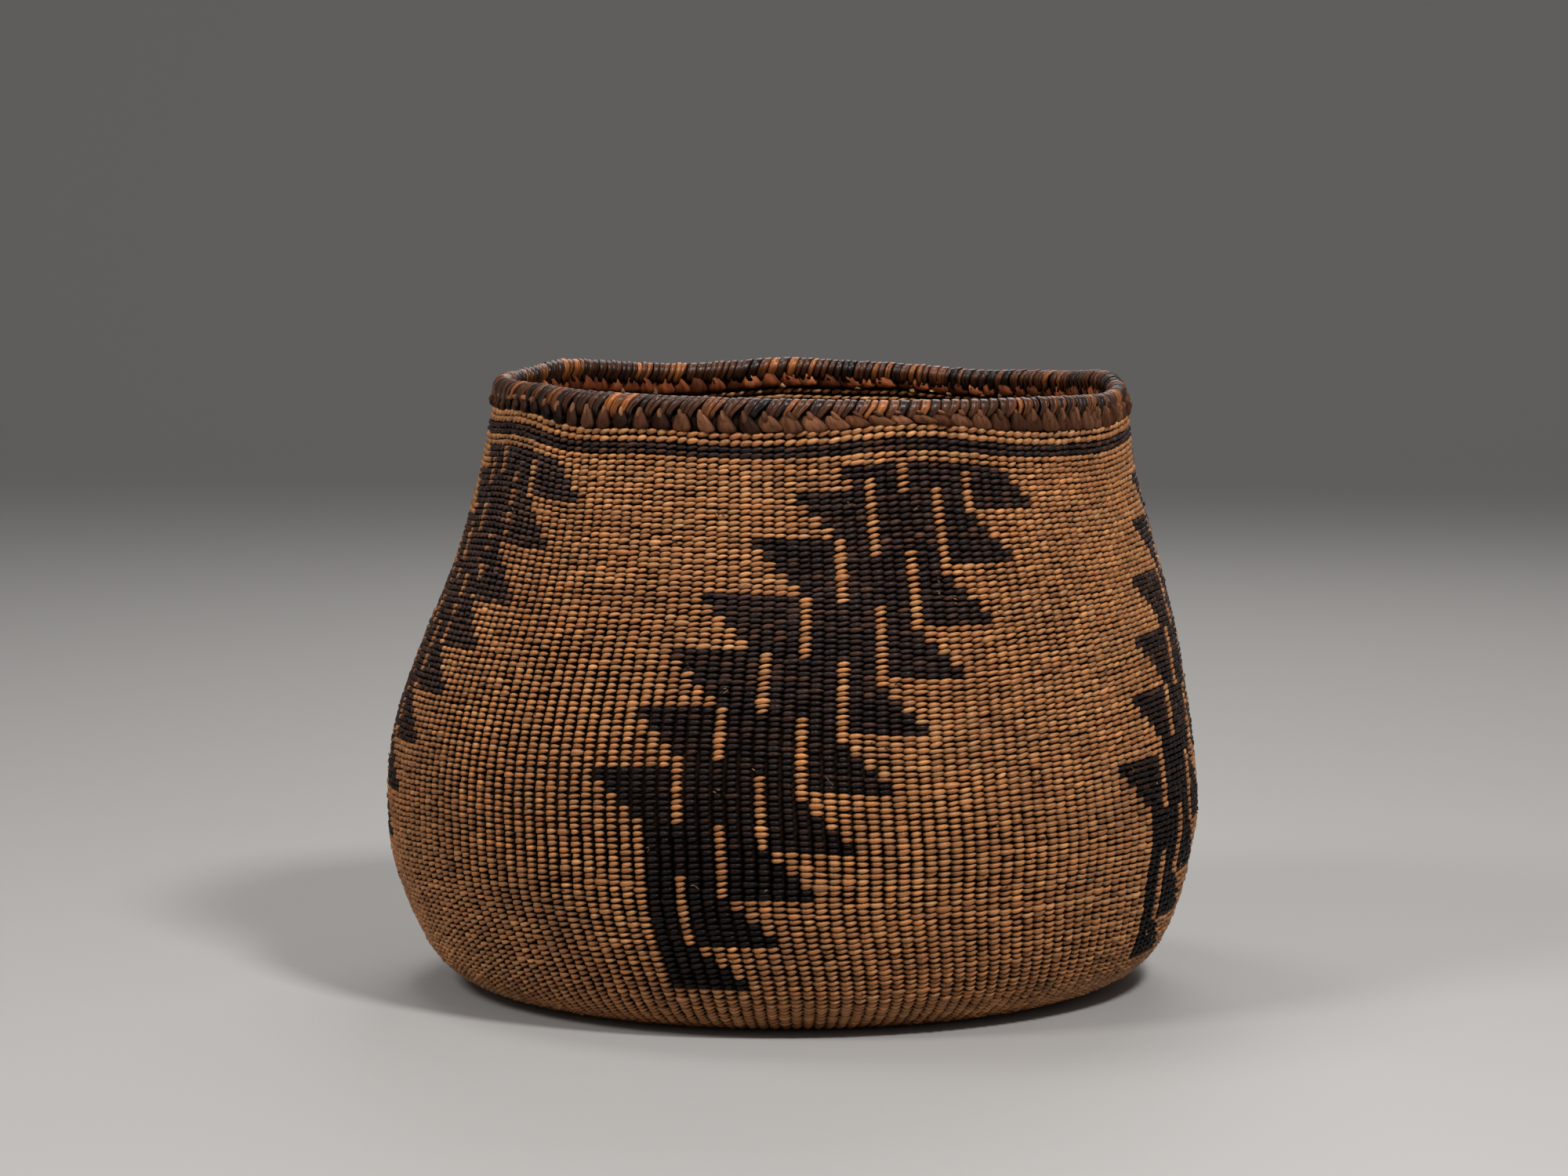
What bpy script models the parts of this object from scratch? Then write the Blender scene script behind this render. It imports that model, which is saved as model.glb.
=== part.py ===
"""A twined basket with a round belly, a narrower mouth and a lashed rim.

The wall is built as the real one is woven. Warp stakes cross at the start in the middle of the
base, run out under the floor, turn up at the heel and end below the rim. Strands are twined round
them course by course, so each course has an outer and an inner face with the stakes between.
Dark strands are laid over the outer face in four stepped flights. A hoop, lashed with strips,
stiffens the mouth.

Units are metres and +Z is up. The origin is on the ground under the middle of the belly, and the
front, with the first dark flight, faces -Y.
"""

import math

import bmesh
import bpy
from mathutils import Matrix, Vector

# Driving sizes
BELLY_RADIUS = 0.1008
RIM_HEIGHT = 0.1492
REST_OUTER_RADIUS = 0.0720
REST_WIDTH = 0.0080
KICK_WIDTH = 0.0100
KICK_RISE = 0.0012
START_RADIUS = 0.0140
HEEL_SWEEP = math.radians(60)
HEEL_STEPS = 3

# How the wall stands off a true turned shape
BELLY_HEIGHT = 0.0450
LEAN_SHARE = 0.047
RIM_TILT = 0.0014
RIM_SQUARENESS = 0.0010

# Strands and stakes
STRAND = 0.0010
INNER_STRAND = 0.0009
WARP_THICKNESS = 0.0010
WARP_WIDTH = 0.0018
GAP = 0.0003
WELD = GAP / 30
ROW_PITCH = 0.0014
WARP_COUNT = 190
WARPS_PER_FACET = 5
FACETS = WARP_COUNT // WARPS_PER_FACET
FACETS_PER_STAKE = 2
STAKES = FACETS // FACETS_PER_STAKE
SMOOTH_ANGLE = math.radians(40)
UPRIGHT_LIMIT = 0.5

# Rim
HOOP_RADIUS = 0.0015
LASHING_THICKNESS = 0.0005
LASHING_GROOVE = 0.0002
LASHING_PARTS = 4
LASHING_SLIT = math.radians(50)
LASHING_STEPS = 6
TUCK_HEIGHT = 0.0031
TUCK_PROUD = 0.0004
COLLAR_ROW_COUNT = 2
BAND_ROW_COUNT = 2
PLAIN_ROW_COUNT = 2

# Dark flights laid over the wall
OVERLAY = 0.0005
OVERLAY_LIFT = 0.0004
CUTTER_OVERRUN = 0.0200
CUTTER_INNER_SHARE = 0.5
FLIGHT_ROW_COUNTS = (8, 9, 10, 10, 9, 9, 9, 9, 8, 8)
FLIGHT_SHIFT_COUNT = 3
FLIGHT_TIP_COUNT = 21
WING_STEPS = 4
ROWS_PER_STEP = 2
LEFT_WING_LAG_COUNT = 4
LEFT_WING_COUNT = 7
LEFT_WING_END_COUNT = -16
ROW_DRIFT_SHARE = 0.025
MOTIF_WARPS = {"front": -0.4, "right": 42.7, "back": 94.6, "left": -43.2}

# Outer wall above the heel: shares of the rim height, and of the belly radius
WALL_HEIGHT_SHARES = (0.0704, 0.12, 0.20, 0.30, 0.42, 0.56, 0.70, 0.85, 1.0)
WALL_RADIUS_SHARES = (0.9179, 0.951, 0.983, 1.0, 0.986, 0.937, 0.871, 0.811, 0.776)

# Course edges up the wall, as shares of the rim height
HEEL_TOP_SHARE = 0.125
LOWER_TOP_SHARE = 0.22
BELLY_TOP_SHARE = 0.42
SHOULDER_TOP_SHARE = 0.66

# Inner faces, each lining a run of the outer courses
LINING_COURSES = {
    "neck_lining": ("collar_weft", "neck_weft"),
    "belly_lining": ("shoulder_weft", "belly_weft"),
    "heel_lining": ("lower_wall_weft", "heel_weft"),
    "base_lining": ("base_weft_outer", "start_knot"),
}

TAN = (0.52, 0.24, 0.085, 1.0)
TAN_SHADE = (0.36, 0.16, 0.06, 1.0)
DARK = (0.030, 0.018, 0.016, 1.0)
BARK = (0.135, 0.055, 0.026, 1.0)
ROD = (0.30, 0.17, 0.08, 1.0)


def clear_scene():
    """Removes what a new file starts with."""
    for item in list(bpy.data.objects):
        bpy.data.objects.remove(item, do_unlink=True)


def new_collection(name):
    """Makes a collection linked to the scene."""
    made = bpy.data.collections.new(name)
    bpy.context.scene.collection.children.link(made)
    return made


def finish_of(name, color, roughness):
    """Makes one Principled material."""
    material = bpy.data.materials.new(name)
    material.use_nodes = True
    shader = material.node_tree.nodes["Principled BSDF"]
    shader.inputs["Base Color"].default_value = color
    shader.inputs["Roughness"].default_value = roughness
    shader.inputs["Metallic"].default_value = 0.0
    return material


def wall_radius(height):
    """Gives the outer radius at a height, on a cubic through the wall's shares."""
    heights = [share * RIM_HEIGHT for share in WALL_HEIGHT_SHARES]
    radii = [share * BELLY_RADIUS for share in WALL_RADIUS_SHARES]
    last = len(heights) - 1
    slopes = []
    for i in range(last + 1):
        low, high = max(i - 1, 0), min(i + 1, last)
        slopes.append((radii[high] - radii[low]) / (heights[high] - heights[low]))
    i = 0
    while i < last - 1 and height > heights[i + 1]:
        i += 1
    span = heights[i + 1] - heights[i]
    t = (height - heights[i]) / span
    near = (2 * t**3 - 3 * t**2 + 1) * radii[i] + (t**3 - 2 * t**2 + t) * span * slopes[i]
    far = (3 * t**2 - 2 * t**3) * radii[i + 1] + (t**3 - t**2) * span * slopes[i + 1]
    return near + far


def wall_station(height):
    """Gives the outer profile point (radius, height) of the wall."""
    return Vector((wall_radius(height), height))


def wall_run(top, bottom, steps):
    """Gives the wall's profile points below a height, down to another in equal steps."""
    return [wall_station(top + (bottom - top) * (i + 1) / steps) for i in range(steps)]


def heel_arc():
    """Gives the heel's profile from the wall down to the ground, as an arc of an ellipse."""
    top = wall_station(WALL_HEIGHT_SHARES[0] * RIM_HEIGHT)
    reach = (top.x - REST_OUTER_RADIUS) / math.sin(HEEL_SWEEP)
    rise = top.y / (1 - math.cos(HEEL_SWEEP))
    points = []
    for i in range(HEEL_STEPS, -1, -1):
        turn = HEEL_SWEEP * i / HEEL_STEPS
        radius = REST_OUTER_RADIUS + reach * math.sin(turn)
        points.append(Vector((radius, rise * (1 - math.cos(turn)))))
    return points


def offset_line(points, depth):
    """Moves an open profile line inward by a depth, mitred at its corners."""
    moved = []
    for i, point in enumerate(points):
        before = (point - points[i - 1]).normalized() if i > 0 else None
        after = (points[i + 1] - point).normalized() if i < len(points) - 1 else None
        before = before or after
        after = after or before
        inward = [Vector((way.y, -way.x)) for way in (before, after)]
        mitre = (inward[0] + inward[1]).normalized()
        moved.append(point + mitre * (depth / mitre.dot(inward[0])))
    return moved


def trimmed(points, start_trim, end_trim):
    """Shortens an open line at both ends, along its own first and last runs."""
    line = [point.copy() for point in points]
    line[0] += (line[1] - line[0]).normalized() * start_trim
    line[-1] += (line[-2] - line[-1]).normalized() * end_trim
    return line


def out_of_true(point):
    """Moves a point of the turned shape to where the hand-made wall stands.

    The wall leans to +X about the belly, the mouth is a little square, and the rim is high at -X.
    """
    share = max(point.z, 0.0) / RIM_HEIGHT
    angle = math.atan2(point.x, -point.y)
    radius = math.hypot(point.x, point.y)
    squared = radius - RIM_SQUARENESS * share**2 * math.cos(4 * angle) * radius / BELLY_RADIUS
    lean = LEAN_SHARE * (point.z - BELLY_HEIGHT)
    drop = RIM_TILT * share**3 * math.sin(angle) * radius / BELLY_RADIUS
    return Vector((squared * math.sin(angle) + lean, -squared * math.cos(angle), point.z - drop))


def add_object(name, mesh, material, collection):
    """Links a mesh as one named piece, shaded smooth across its shallow edges."""
    mesh.materials.clear()
    mesh.materials.append(material)
    mesh.shade_smooth()
    mesh.set_sharp_from_angle(angle=SMOOTH_ANGLE)
    made = bpy.data.objects.new(name, mesh)
    collection.objects.link(made)
    return made


def evaluated_mesh(item):
    """Bakes an object's modifiers or bevel into a mesh in world space, and removes the object."""
    graph = bpy.context.evaluated_depsgraph_get()
    mesh = bpy.data.meshes.new_from_object(item.evaluated_get(graph), depsgraph=graph)
    mesh.transform(item.matrix_world)
    bpy.data.objects.remove(item, do_unlink=True)
    return mesh


def tidy_mesh(mesh, shape=None):
    """Welds a mesh, moves its points by a shape function and turns its faces outward."""
    grid = bmesh.new()
    grid.from_mesh(mesh)
    bmesh.ops.remove_doubles(grid, verts=grid.verts, dist=WELD)
    if shape:
        for vert in grid.verts:
            vert.co = shape(vert.co)
    bmesh.ops.recalc_face_normals(grid, faces=grid.faces)
    grid.to_mesh(mesh)
    grid.free()
    return mesh


def turned_mesh(outer, inner):
    """Turns the band between two profile lines, given top to bottom, into a closed mesh."""
    section = outer + inner[::-1]
    mesh = bpy.data.meshes.new("section")
    corners = [(point.x, 0.0, point.y) for point in section]
    edges = [(i - 1, i) for i in range(len(corners)) if max(section[i - 1].x, section[i].x) > GAP]
    mesh.from_pydata(corners, [(i % len(corners), j) for i, j in edges], [])
    item = bpy.data.objects.new("section", mesh)
    bpy.context.scene.collection.objects.link(item)
    screw = item.modifiers.new("turn", "SCREW")
    screw.steps = FACETS
    screw.render_steps = FACETS
    screw.use_merge_vertices = True
    screw.merge_threshold = WELD
    return tidy_mesh(evaluated_mesh(item), out_of_true)


def profile():
    """Gives the outer profile from the collar down to the middle of the base, and its courses.

    The courses are spans of the line's points, first and last, by name.
    """
    collar_top = RIM_HEIGHT - lashing_height() - TUCK_HEIGHT
    band_top = collar_top - COLLAR_ROW_COUNT * ROW_PITCH
    neck_top = band_top - BAND_ROW_COUNT * ROW_PITCH
    shoulder_top = SHOULDER_TOP_SHARE * RIM_HEIGHT
    belly_top = BELLY_TOP_SHARE * RIM_HEIGHT
    lower_top = LOWER_TOP_SHARE * RIM_HEIGHT
    heel_top = HEEL_TOP_SHARE * RIM_HEIGHT
    rest_edge = REST_OUTER_RADIUS - REST_WIDTH
    kick_edge = rest_edge - KICK_WIDTH
    middle = (START_RADIUS + kick_edge) / 2
    runs = [
        ("collar_weft", wall_run(collar_top, band_top, 1)),
        ("dark_band_weft", wall_run(band_top, neck_top, 1)),
        ("neck_weft", wall_run(neck_top, shoulder_top, 2)),
        ("shoulder_weft", wall_run(shoulder_top, belly_top, 2)),
        ("belly_weft", wall_run(belly_top, lower_top, 2)),
        ("lower_wall_weft", wall_run(lower_top, heel_top, 1)),
        ("heel_weft", heel_arc() + [Vector((rest_edge, 0.0))]),
        ("base_weft_outer", [Vector((kick_edge, KICK_RISE)), Vector((middle, KICK_RISE))]),
        ("base_weft_inner", [Vector((START_RADIUS, KICK_RISE))]),
        ("start_knot", [Vector((0.0, KICK_RISE))]),
    ]
    line = [wall_station(collar_top)]
    spans = {}
    for name, points in runs:
        first = len(line) - 1
        line += points
        spans[name] = (first, len(line) - 1)
    return line, spans


def course(name, profile_line, span, depth, thickness, material, collection):
    """Makes a turned course of twining: a span of the profile at a depth below its face."""
    first, last = span
    ends_on_axis = profile_line[last].x < GAP
    trims = (GAP / 2, 0.0 if ends_on_axis else GAP / 2)
    outer = trimmed(offset_line(profile_line, depth)[first : last + 1], *trims)
    inner = trimmed(offset_line(profile_line, depth + thickness)[first : last + 1], *trims)
    return add_object(name, turned_mesh(outer, inner), material, collection)


def lashing_height():
    """Gives the height of the lashed hoop."""
    return 2 * (HOOP_RADIUS + GAP + LASHING_THICKNESS)


def crossing_radius():
    """Gives the radius at which the stakes' sides meet, round the crossing in the base."""
    return WARP_WIDTH / 2 / math.sin(math.pi / STAKES)


def hoop_point(angle):
    """Gives the middle of the hoop at an angle round the mouth, measured from the front."""
    radius = wall_radius(RIM_HEIGHT) - lashing_height() / 2
    height = RIM_HEIGHT - lashing_height() / 2
    turned = Vector((radius * math.sin(angle), -radius * math.cos(angle), height))
    return out_of_true(turned)


def stake_cage(profile_line, material, collection):
    """Makes the warp stakes: a flat crossing whose side faces are drawn out along the wall."""
    face_depth = STRAND + GAP
    ends = (GAP, 0.0)
    outer = trimmed(offset_line(profile_line, face_depth), *ends)[::-1]
    inner = trimmed(offset_line(profile_line, face_depth + WARP_THICKNESS), *ends)[::-1]
    middle = Matrix.Translation((0, 0, (outer[0].y + inner[0].y) / 2))
    facing = Matrix.Rotation(math.pi / STAKES - math.pi / 2, 4, "Z")
    grid = bmesh.new()
    bmesh.ops.create_cone(
        grid,
        cap_ends=True,
        segments=STAKES,
        radius1=crossing_radius(),
        radius2=crossing_radius(),
        depth=WARP_THICKNESS,
        matrix=middle @ facing,
    )
    grid.normal_update()
    tips = [face for face in grid.faces if abs(face.normal.z) < UPRIGHT_LIMIT]
    for low, high in zip(outer, inner):
        if low.x > crossing_radius():
            tips = bmesh.ops.extrude_discrete_faces(grid, faces=tips)["faces"]
            for face in tips:
                draw_out(face, low, high)
    mesh = bpy.data.meshes.new("warp_stakes")
    grid.to_mesh(mesh)
    grid.free()
    return add_object("warp_stakes", tidy_mesh(mesh, out_of_true), material, collection)


def draw_out(face, low, high):
    """Moves a stake's end face to its next place, between two points of the profile."""
    middle = face.calc_center_median()
    along = Vector((middle.x, middle.y)).normalized()
    across = Vector((-along.y, along.x))
    floor_first = sorted(face.verts, key=lambda vert: depth_key(vert, along))
    for i, vert in enumerate(floor_first):
        place = low if i < 2 else high
        side = math.copysign(WARP_WIDTH / 2, Vector((vert.co.x, vert.co.y)).dot(across))
        flat = along * place.x + across * side
        vert.co = Vector((flat.x, flat.y, place.y))


def depth_key(vert, along):
    """Orders a stake's corners from the basket's outer face to its inner face."""
    return vert.co.z - Vector((vert.co.x, vert.co.y)).dot(along)


def ring_curve(name, points, cyclic):
    """Makes a curve object through points, with its bevel kept upright."""
    curve = bpy.data.curves.new(name, "CURVE")
    curve.dimensions = "3D"
    curve.twist_mode = "Z_UP"
    curve.use_fill_caps = True
    spline = curve.splines.new("POLY")
    spline.points.add(len(points) - 1)
    for knot, point in zip(spline.points, points):
        knot.co = (*point, 1.0)
    spline.use_cyclic_u = cyclic
    item = bpy.data.objects.new(name, curve)
    bpy.context.scene.collection.objects.link(item)
    return item


def hoop(material, collection):
    """Makes the rod that stiffens the mouth."""
    count = 2 * FACETS
    points = [hoop_point(math.tau * i / count) for i in range(count)]
    item = ring_curve("rim_hoop", points, True)
    item.data.bevel_depth = HOOP_RADIUS
    item.data.bevel_resolution = 1
    return add_object("rim_hoop", tidy_mesh(evaluated_mesh(item)), material, collection)


def lashing_section():
    """Gives the lashing's section: a sleeve round the hoop, slit along its underside."""
    inner = HOOP_RADIUS + GAP
    outer = inner + LASHING_THICKNESS
    sweep = math.tau - LASHING_SLIT
    turns = [LASHING_SLIT / 2 + sweep * i / LASHING_STEPS for i in range(LASHING_STEPS + 1)]
    arc = [Vector((math.sin(turn), -math.cos(turn))) for turn in turns]
    clear = inner / math.cos(sweep / LASHING_STEPS / 2)
    return [way * outer for way in arc] + [way * clear for way in arc[::-1]]


def closed_profile(name, points):
    """Makes a closed flat curve to carry along a ring."""
    curve = bpy.data.curves.new(name, "CURVE")
    curve.dimensions = "2D"
    spline = curve.splines.new("POLY")
    spline.points.add(len(points) - 1)
    for knot, point in zip(spline.points, points):
        knot.co = (point.x, point.y, 0.0, 1.0)
    spline.use_cyclic_u = True
    item = bpy.data.objects.new(name, curve)
    bpy.context.scene.collection.objects.link(item)
    return item


def carried(name, points, cyclic, section, swell, material, collection):
    """Carries a section along a ring, swelling it point by point, and welds it into a mesh."""
    item = ring_curve(name, points, cyclic)
    profile = closed_profile(name + "_section", section)
    item.data.bevel_mode = "OBJECT"
    item.data.bevel_object = profile
    for knot, factor in zip(item.data.splines[0].points, swell):
        knot.radius = factor
    mesh = tidy_mesh(evaluated_mesh(item))
    bpy.data.objects.remove(profile, do_unlink=True)
    return add_object(name, mesh, material, collection)


def lashing(material, collection):
    """Makes the strips lashed over the hoop: one sleeve of wraps for each strip's run."""
    section = lashing_section()
    steps = 2 * FACETS // LASHING_PARTS
    arc = math.tau / LASHING_PARTS
    hoop_across = (hoop_point(0.0) - hoop_point(math.pi)).length
    trim = GAP / hoop_across
    groove = 1 - LASHING_GROOVE / (HOOP_RADIUS + GAP + LASHING_THICKNESS)
    for part in range(LASHING_PARTS):
        start, end = part * arc + trim, (part + 1) * arc - trim
        angles = [start + (end - start) * i / steps for i in range(steps + 1)]
        points = [hoop_point(angle) for angle in angles]
        swell = [1.0 if i % 2 else groove for i in range(steps + 1)]
        name = "rim_lashing_" + str(part + 1)
        carried(name, points, False, section, swell, material, collection)


def wall_thickness():
    """Gives the whole wall: outer strands, stakes and inner strands with their gaps."""
    return STRAND + GAP + WARP_THICKNESS + GAP + INNER_STRAND


def tucked_ends(material, collection):
    """Makes the row of warp ends folded over and tucked in below the hoop."""
    top = RIM_HEIGHT - lashing_height() - GAP
    bottom = RIM_HEIGHT - lashing_height() - TUCK_HEIGHT + GAP / 2
    height = (top + bottom) / 2
    radius = wall_radius(height) - wall_thickness() / 2
    half = wall_thickness() / 2
    rise = (top - bottom) / 2
    section = [
        Vector((-half - TUCK_PROUD, -rise / 2)),
        Vector((-half, -rise)),
        Vector((half, -rise)),
        Vector((half + TUCK_PROUD, -rise / 2)),
        Vector((half, rise)),
        Vector((-half, rise)),
    ]
    count = 2 * FACETS
    points = []
    for i in range(count):
        angle = math.tau * i / count
        turned = Vector((radius * math.sin(angle), -radius * math.cos(angle), height))
        points.append(out_of_true(turned))
    fold = 1 - TUCK_PROUD / half
    swell = [1.0 if i % 2 else fold for i in range(count)]
    carried("tucked_ends", points, True, section, swell, material, collection)


def flight_top():
    """Gives the row in which the dark flights start, counted from the collar."""
    return COLLAR_ROW_COUNT + BAND_ROW_COUNT + PLAIN_ROW_COUNT


def right_tips():
    """Gives the right tips of the flights as (row, warp) pairs, from the top down."""
    tips = []
    row = flight_top()
    for i, rows in enumerate(FLIGHT_ROW_COUNTS):
        row += rows
        tips.append((row, FLIGHT_TIP_COUNT - FLIGHT_SHIFT_COUNT * i))
    return tips


def left_tops(tips):
    """Gives the left wings' top corners as (row, warp) pairs, from the top down."""
    tops = []
    for i in range(LEFT_WING_COUNT):
        above = tips[i - 2][0] if i > 1 else flight_top() - (1 - i) * LEFT_WING_LAG_COUNT
        warp = LEFT_WING_END_COUNT + FLIGHT_SHIFT_COUNT * (LEFT_WING_COUNT - 1 - i)
        tops.append((above + LEFT_WING_LAG_COUNT, warp))
    return tops


def flight_outline():
    """Gives the stepped outline of a dark flight as (row, warp) corners, anticlockwise."""
    tips = right_tips()
    tops = left_tops(tips)
    right = []
    top_row = flight_top()
    for bottom, warp in tips:
        right += [(top_row, warp - WING_STEPS), (bottom, warp)]
        top_row = bottom
    left = []
    for i, (row, warp) in enumerate(tops):
        last_row = tops[i + 1][0] if i + 1 < len(tops) else tips[-1][0]
        narrowed = min(row + WING_STEPS * ROWS_PER_STEP, last_row)
        left += [(row, warp), (narrowed, warp + WING_STEPS)]
        if narrowed < last_row:
            left.append((last_row, warp + WING_STEPS))
    return right[::-1] + left


def row_heights():
    """Gives the height of each row's upper edge, a row pitch apart down the wall's slope."""
    height = RIM_HEIGHT - lashing_height() - TUCK_HEIGHT
    heights = [height]
    for _ in range(flight_top() + sum(FLIGHT_ROW_COUNTS)):
        slope = (wall_radius(height) - wall_radius(height - ROW_PITCH)) / ROW_PITCH
        height -= ROW_PITCH / math.hypot(1.0, slope)
        heights.append(height)
    return heights


def flight_cutter(name, start_warp, collection):
    """Makes the prism that cuts one flight out of the overlay: its outline, carried outward."""
    heights = row_heights()
    grid = bmesh.new()
    loops = []
    for radius in (BELLY_RADIUS * CUTTER_INNER_SHARE, BELLY_RADIUS + CUTTER_OVERRUN):
        loop = []
        for row, warp in flight_outline():
            angle = math.tau * (start_warp + warp + ROW_DRIFT_SHARE * row) / WARP_COUNT
            corner = Vector((radius * math.sin(angle), -radius * math.cos(angle), heights[row]))
            loop.append(grid.verts.new(out_of_true(corner)))
        loops.append(loop)
    inner, outer = loops
    grid.faces.new(inner[::-1])
    grid.faces.new(outer)
    for i in range(len(inner)):
        grid.faces.new((inner[i - 1], inner[i], outer[i], outer[i - 1]))
    bmesh.ops.triangulate(grid, faces=grid.faces)
    bmesh.ops.recalc_face_normals(grid, faces=grid.faces)
    mesh = bpy.data.meshes.new(name)
    grid.to_mesh(mesh)
    grid.free()
    cutter = bpy.data.objects.new(name, mesh)
    cutter.hide_render = True
    cutter.display_type = "WIRE"
    collection.objects.link(cutter)
    return cutter


def dark_flights(profile_line, spans, material, collection, cutters):
    """Makes the dark overlay: a thin band over the wall, cut to a stepped flight on each side."""
    span = (spans["neck_weft"][0], spans["heel_weft"][0] + 1)
    depth = -OVERLAY_LIFT - OVERLAY
    for side, start_warp in MOTIF_WARPS.items():
        name = "motif_" + side
        band = course(name, profile_line, span, depth, OVERLAY, material, collection)
        cut = band.modifiers.new("flight", "BOOLEAN")
        cut.operation = "INTERSECT"
        cut.use_self = True
        cut.object = flight_cutter(name + "_cutter", start_warp, cutters)


def build():
    """Makes the basket."""
    clear_scene()
    pieces = new_collection("twined_basket")
    cutters = new_collection("cutters")
    tan = finish_of("tan_strand", TAN, 0.5)
    inside = finish_of("inner_strand", TAN_SHADE, 0.6)
    dark = finish_of("dark_strand", DARK, 0.45)
    bark = finish_of("bark_strip", BARK, 0.4)
    rod = finish_of("peeled_rod", ROD, 0.6)
    line, spans = profile()
    for name, span in spans.items():
        shade = dark if name == "dark_band_weft" else tan
        course(name, line, span, 0.0, STRAND, shade, pieces)
    inner_depth = STRAND + GAP + WARP_THICKNESS + GAP
    for name, (first, last) in LINING_COURSES.items():
        span = (spans[first][0], spans[last][1])
        course(name, line, span, inner_depth, INNER_STRAND, inside, pieces)
    stake_cage(line, rod, pieces)
    dark_flights(line, spans, dark, pieces, cutters)
    hoop(rod, pieces)
    lashing(bark, pieces)
    tucked_ends(bark, pieces)


build()
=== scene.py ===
"""A twined basket dressed for its photograph: stitches, stakes, dark flights and a lashed rim.

Lengths are metres, +Z is up and the front of the basket faces -Y, as in the frame.
"""

import math

import bpy
import numpy as np
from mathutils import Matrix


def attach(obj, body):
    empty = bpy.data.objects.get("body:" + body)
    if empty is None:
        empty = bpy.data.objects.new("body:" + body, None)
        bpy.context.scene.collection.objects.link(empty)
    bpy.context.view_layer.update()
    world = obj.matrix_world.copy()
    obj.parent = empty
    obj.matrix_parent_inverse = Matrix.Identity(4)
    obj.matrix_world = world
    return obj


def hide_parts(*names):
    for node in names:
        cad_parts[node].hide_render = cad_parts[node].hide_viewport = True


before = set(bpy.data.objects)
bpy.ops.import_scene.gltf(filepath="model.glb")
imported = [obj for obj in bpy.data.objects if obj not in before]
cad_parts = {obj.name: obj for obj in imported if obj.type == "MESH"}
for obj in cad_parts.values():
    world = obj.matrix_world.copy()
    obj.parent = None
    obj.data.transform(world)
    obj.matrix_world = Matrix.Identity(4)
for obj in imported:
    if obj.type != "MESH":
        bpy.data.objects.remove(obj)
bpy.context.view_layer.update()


# Warp stakes
# Shoots stand side by side inside the wall, from the start in the middle of the base up to the collar.
# The twining hides them, and only their sides show in the slits between the stitches, painted almost
# black as the shade there. New ones are let in as the base widens, so there are 190 of them in the
# wall and a dozen at the start.

RIM_HEIGHT = 0.1492
BELLY_RADIUS = 0.1008
BELLY_HEIGHT = 0.0450
WALL_HEIGHT_SHARES = np.array([0.0704, 0.12, 0.20, 0.30, 0.42, 0.56, 0.70, 0.85, 1.0])
WALL_RADIUS_SHARES = np.array([0.9179, 0.951, 0.983, 1.0, 0.986, 0.937, 0.871, 0.811, 0.776])
WALL_POINTS = 300
HEEL_SWEEP = math.radians(60)
HEEL_POINTS = 60
REST_OUTER_RADIUS = 0.0720
REST_INNER_RADIUS = 0.0640
RAISED_RADIUS = 0.0540
RAISED_HEIGHT = 0.0012
LINE_STEP = 0.0004
LINE_SMOOTHING = 9
WALL_THICKNESS = 0.0035
LEAN = 0.047
RIM_TILT = 0.0014
RIM_SQUARENESS = 0.0010
SIDE_WAVE = 0.0009
SIDE_WAVE_LENGTH = 0.081
SIDE_WAVE_TOP = 0.105
SIDE_WAVE_FOOT = (0.034, 0.052)
HEEL_SAG = 0.0018
HEEL_SAG_TOP = 0.034
HEEL_CUT = 0.036
HEEL_CUT_HEIGHTS = (0.006, 0.040)
# A swell of the rim is its height, its angle from the front and its spread, both in degrees.
RIM_SWELLS = (
    (0.0014, -125, 12), (-0.0007, -154, 12), (0.0008, -176, 9), (-0.0010, 146, 12),
    (0.0018, 105, 14), (-0.0006, 66, 12), (0.0005, -60, 10),
)
# A round of stakes is the radius from which it runs inwards, and its count.
WARP_ROUNDS = ((1.0, 190), (0.058, 130), (0.038, 88), (0.026, 60), (0.017, 38), (0.010, 22), (0.005, 12))
WARP_COUNT = 190
START_RADIUS = 0.0012
STAKE_TOP = 0.0046
STAKE_TIP = 0.0003
STAKE_OVERLAP = 0.0030
STAKE_HALF_WIDTH = 0.0018
STAKE_HALF_DEPTH = 0.0006
STAKE_CROWDING = 1.05
STAKE_SIDES = 4
STAKE_RINGS = 14
# The stakes and the hoop rod are painted almost black, as the shade in the slits where they show.
WARP_PAINTED_SHADE = np.array([0.018, 0.009, 0.005])
CELL_MARGIN = 0.06
STRAND_SHIFTS = np.array([1.37, 2.71])
SHIFT_WRAPS = np.array([97, 89])


def wall_radius(height):
    """Outer radius at a height: a cubic between the shares, its slopes taken across the neighbours."""
    heights = WALL_HEIGHT_SHARES * RIM_HEIGHT
    radii = WALL_RADIUS_SHARES * BELLY_RADIUS
    every = np.arange(len(heights))
    low = np.maximum(every - 1, 0)
    high = np.minimum(every + 1, len(heights) - 1)
    slopes = (radii[high] - radii[low]) / (heights[high] - heights[low])
    i = np.clip(np.searchsorted(heights, height) - 1, 0, len(heights) - 2)
    span = heights[i + 1] - heights[i]
    t = (height - heights[i]) / span
    near = (2 * t**3 - 3 * t**2 + 1) * radii[i] + (t**3 - 2 * t**2 + t) * span * slopes[i]
    far = (3 * t**2 - 2 * t**3) * radii[i + 1] + (t**3 - t**2) * span * slopes[i + 1]
    return near + far


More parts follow.
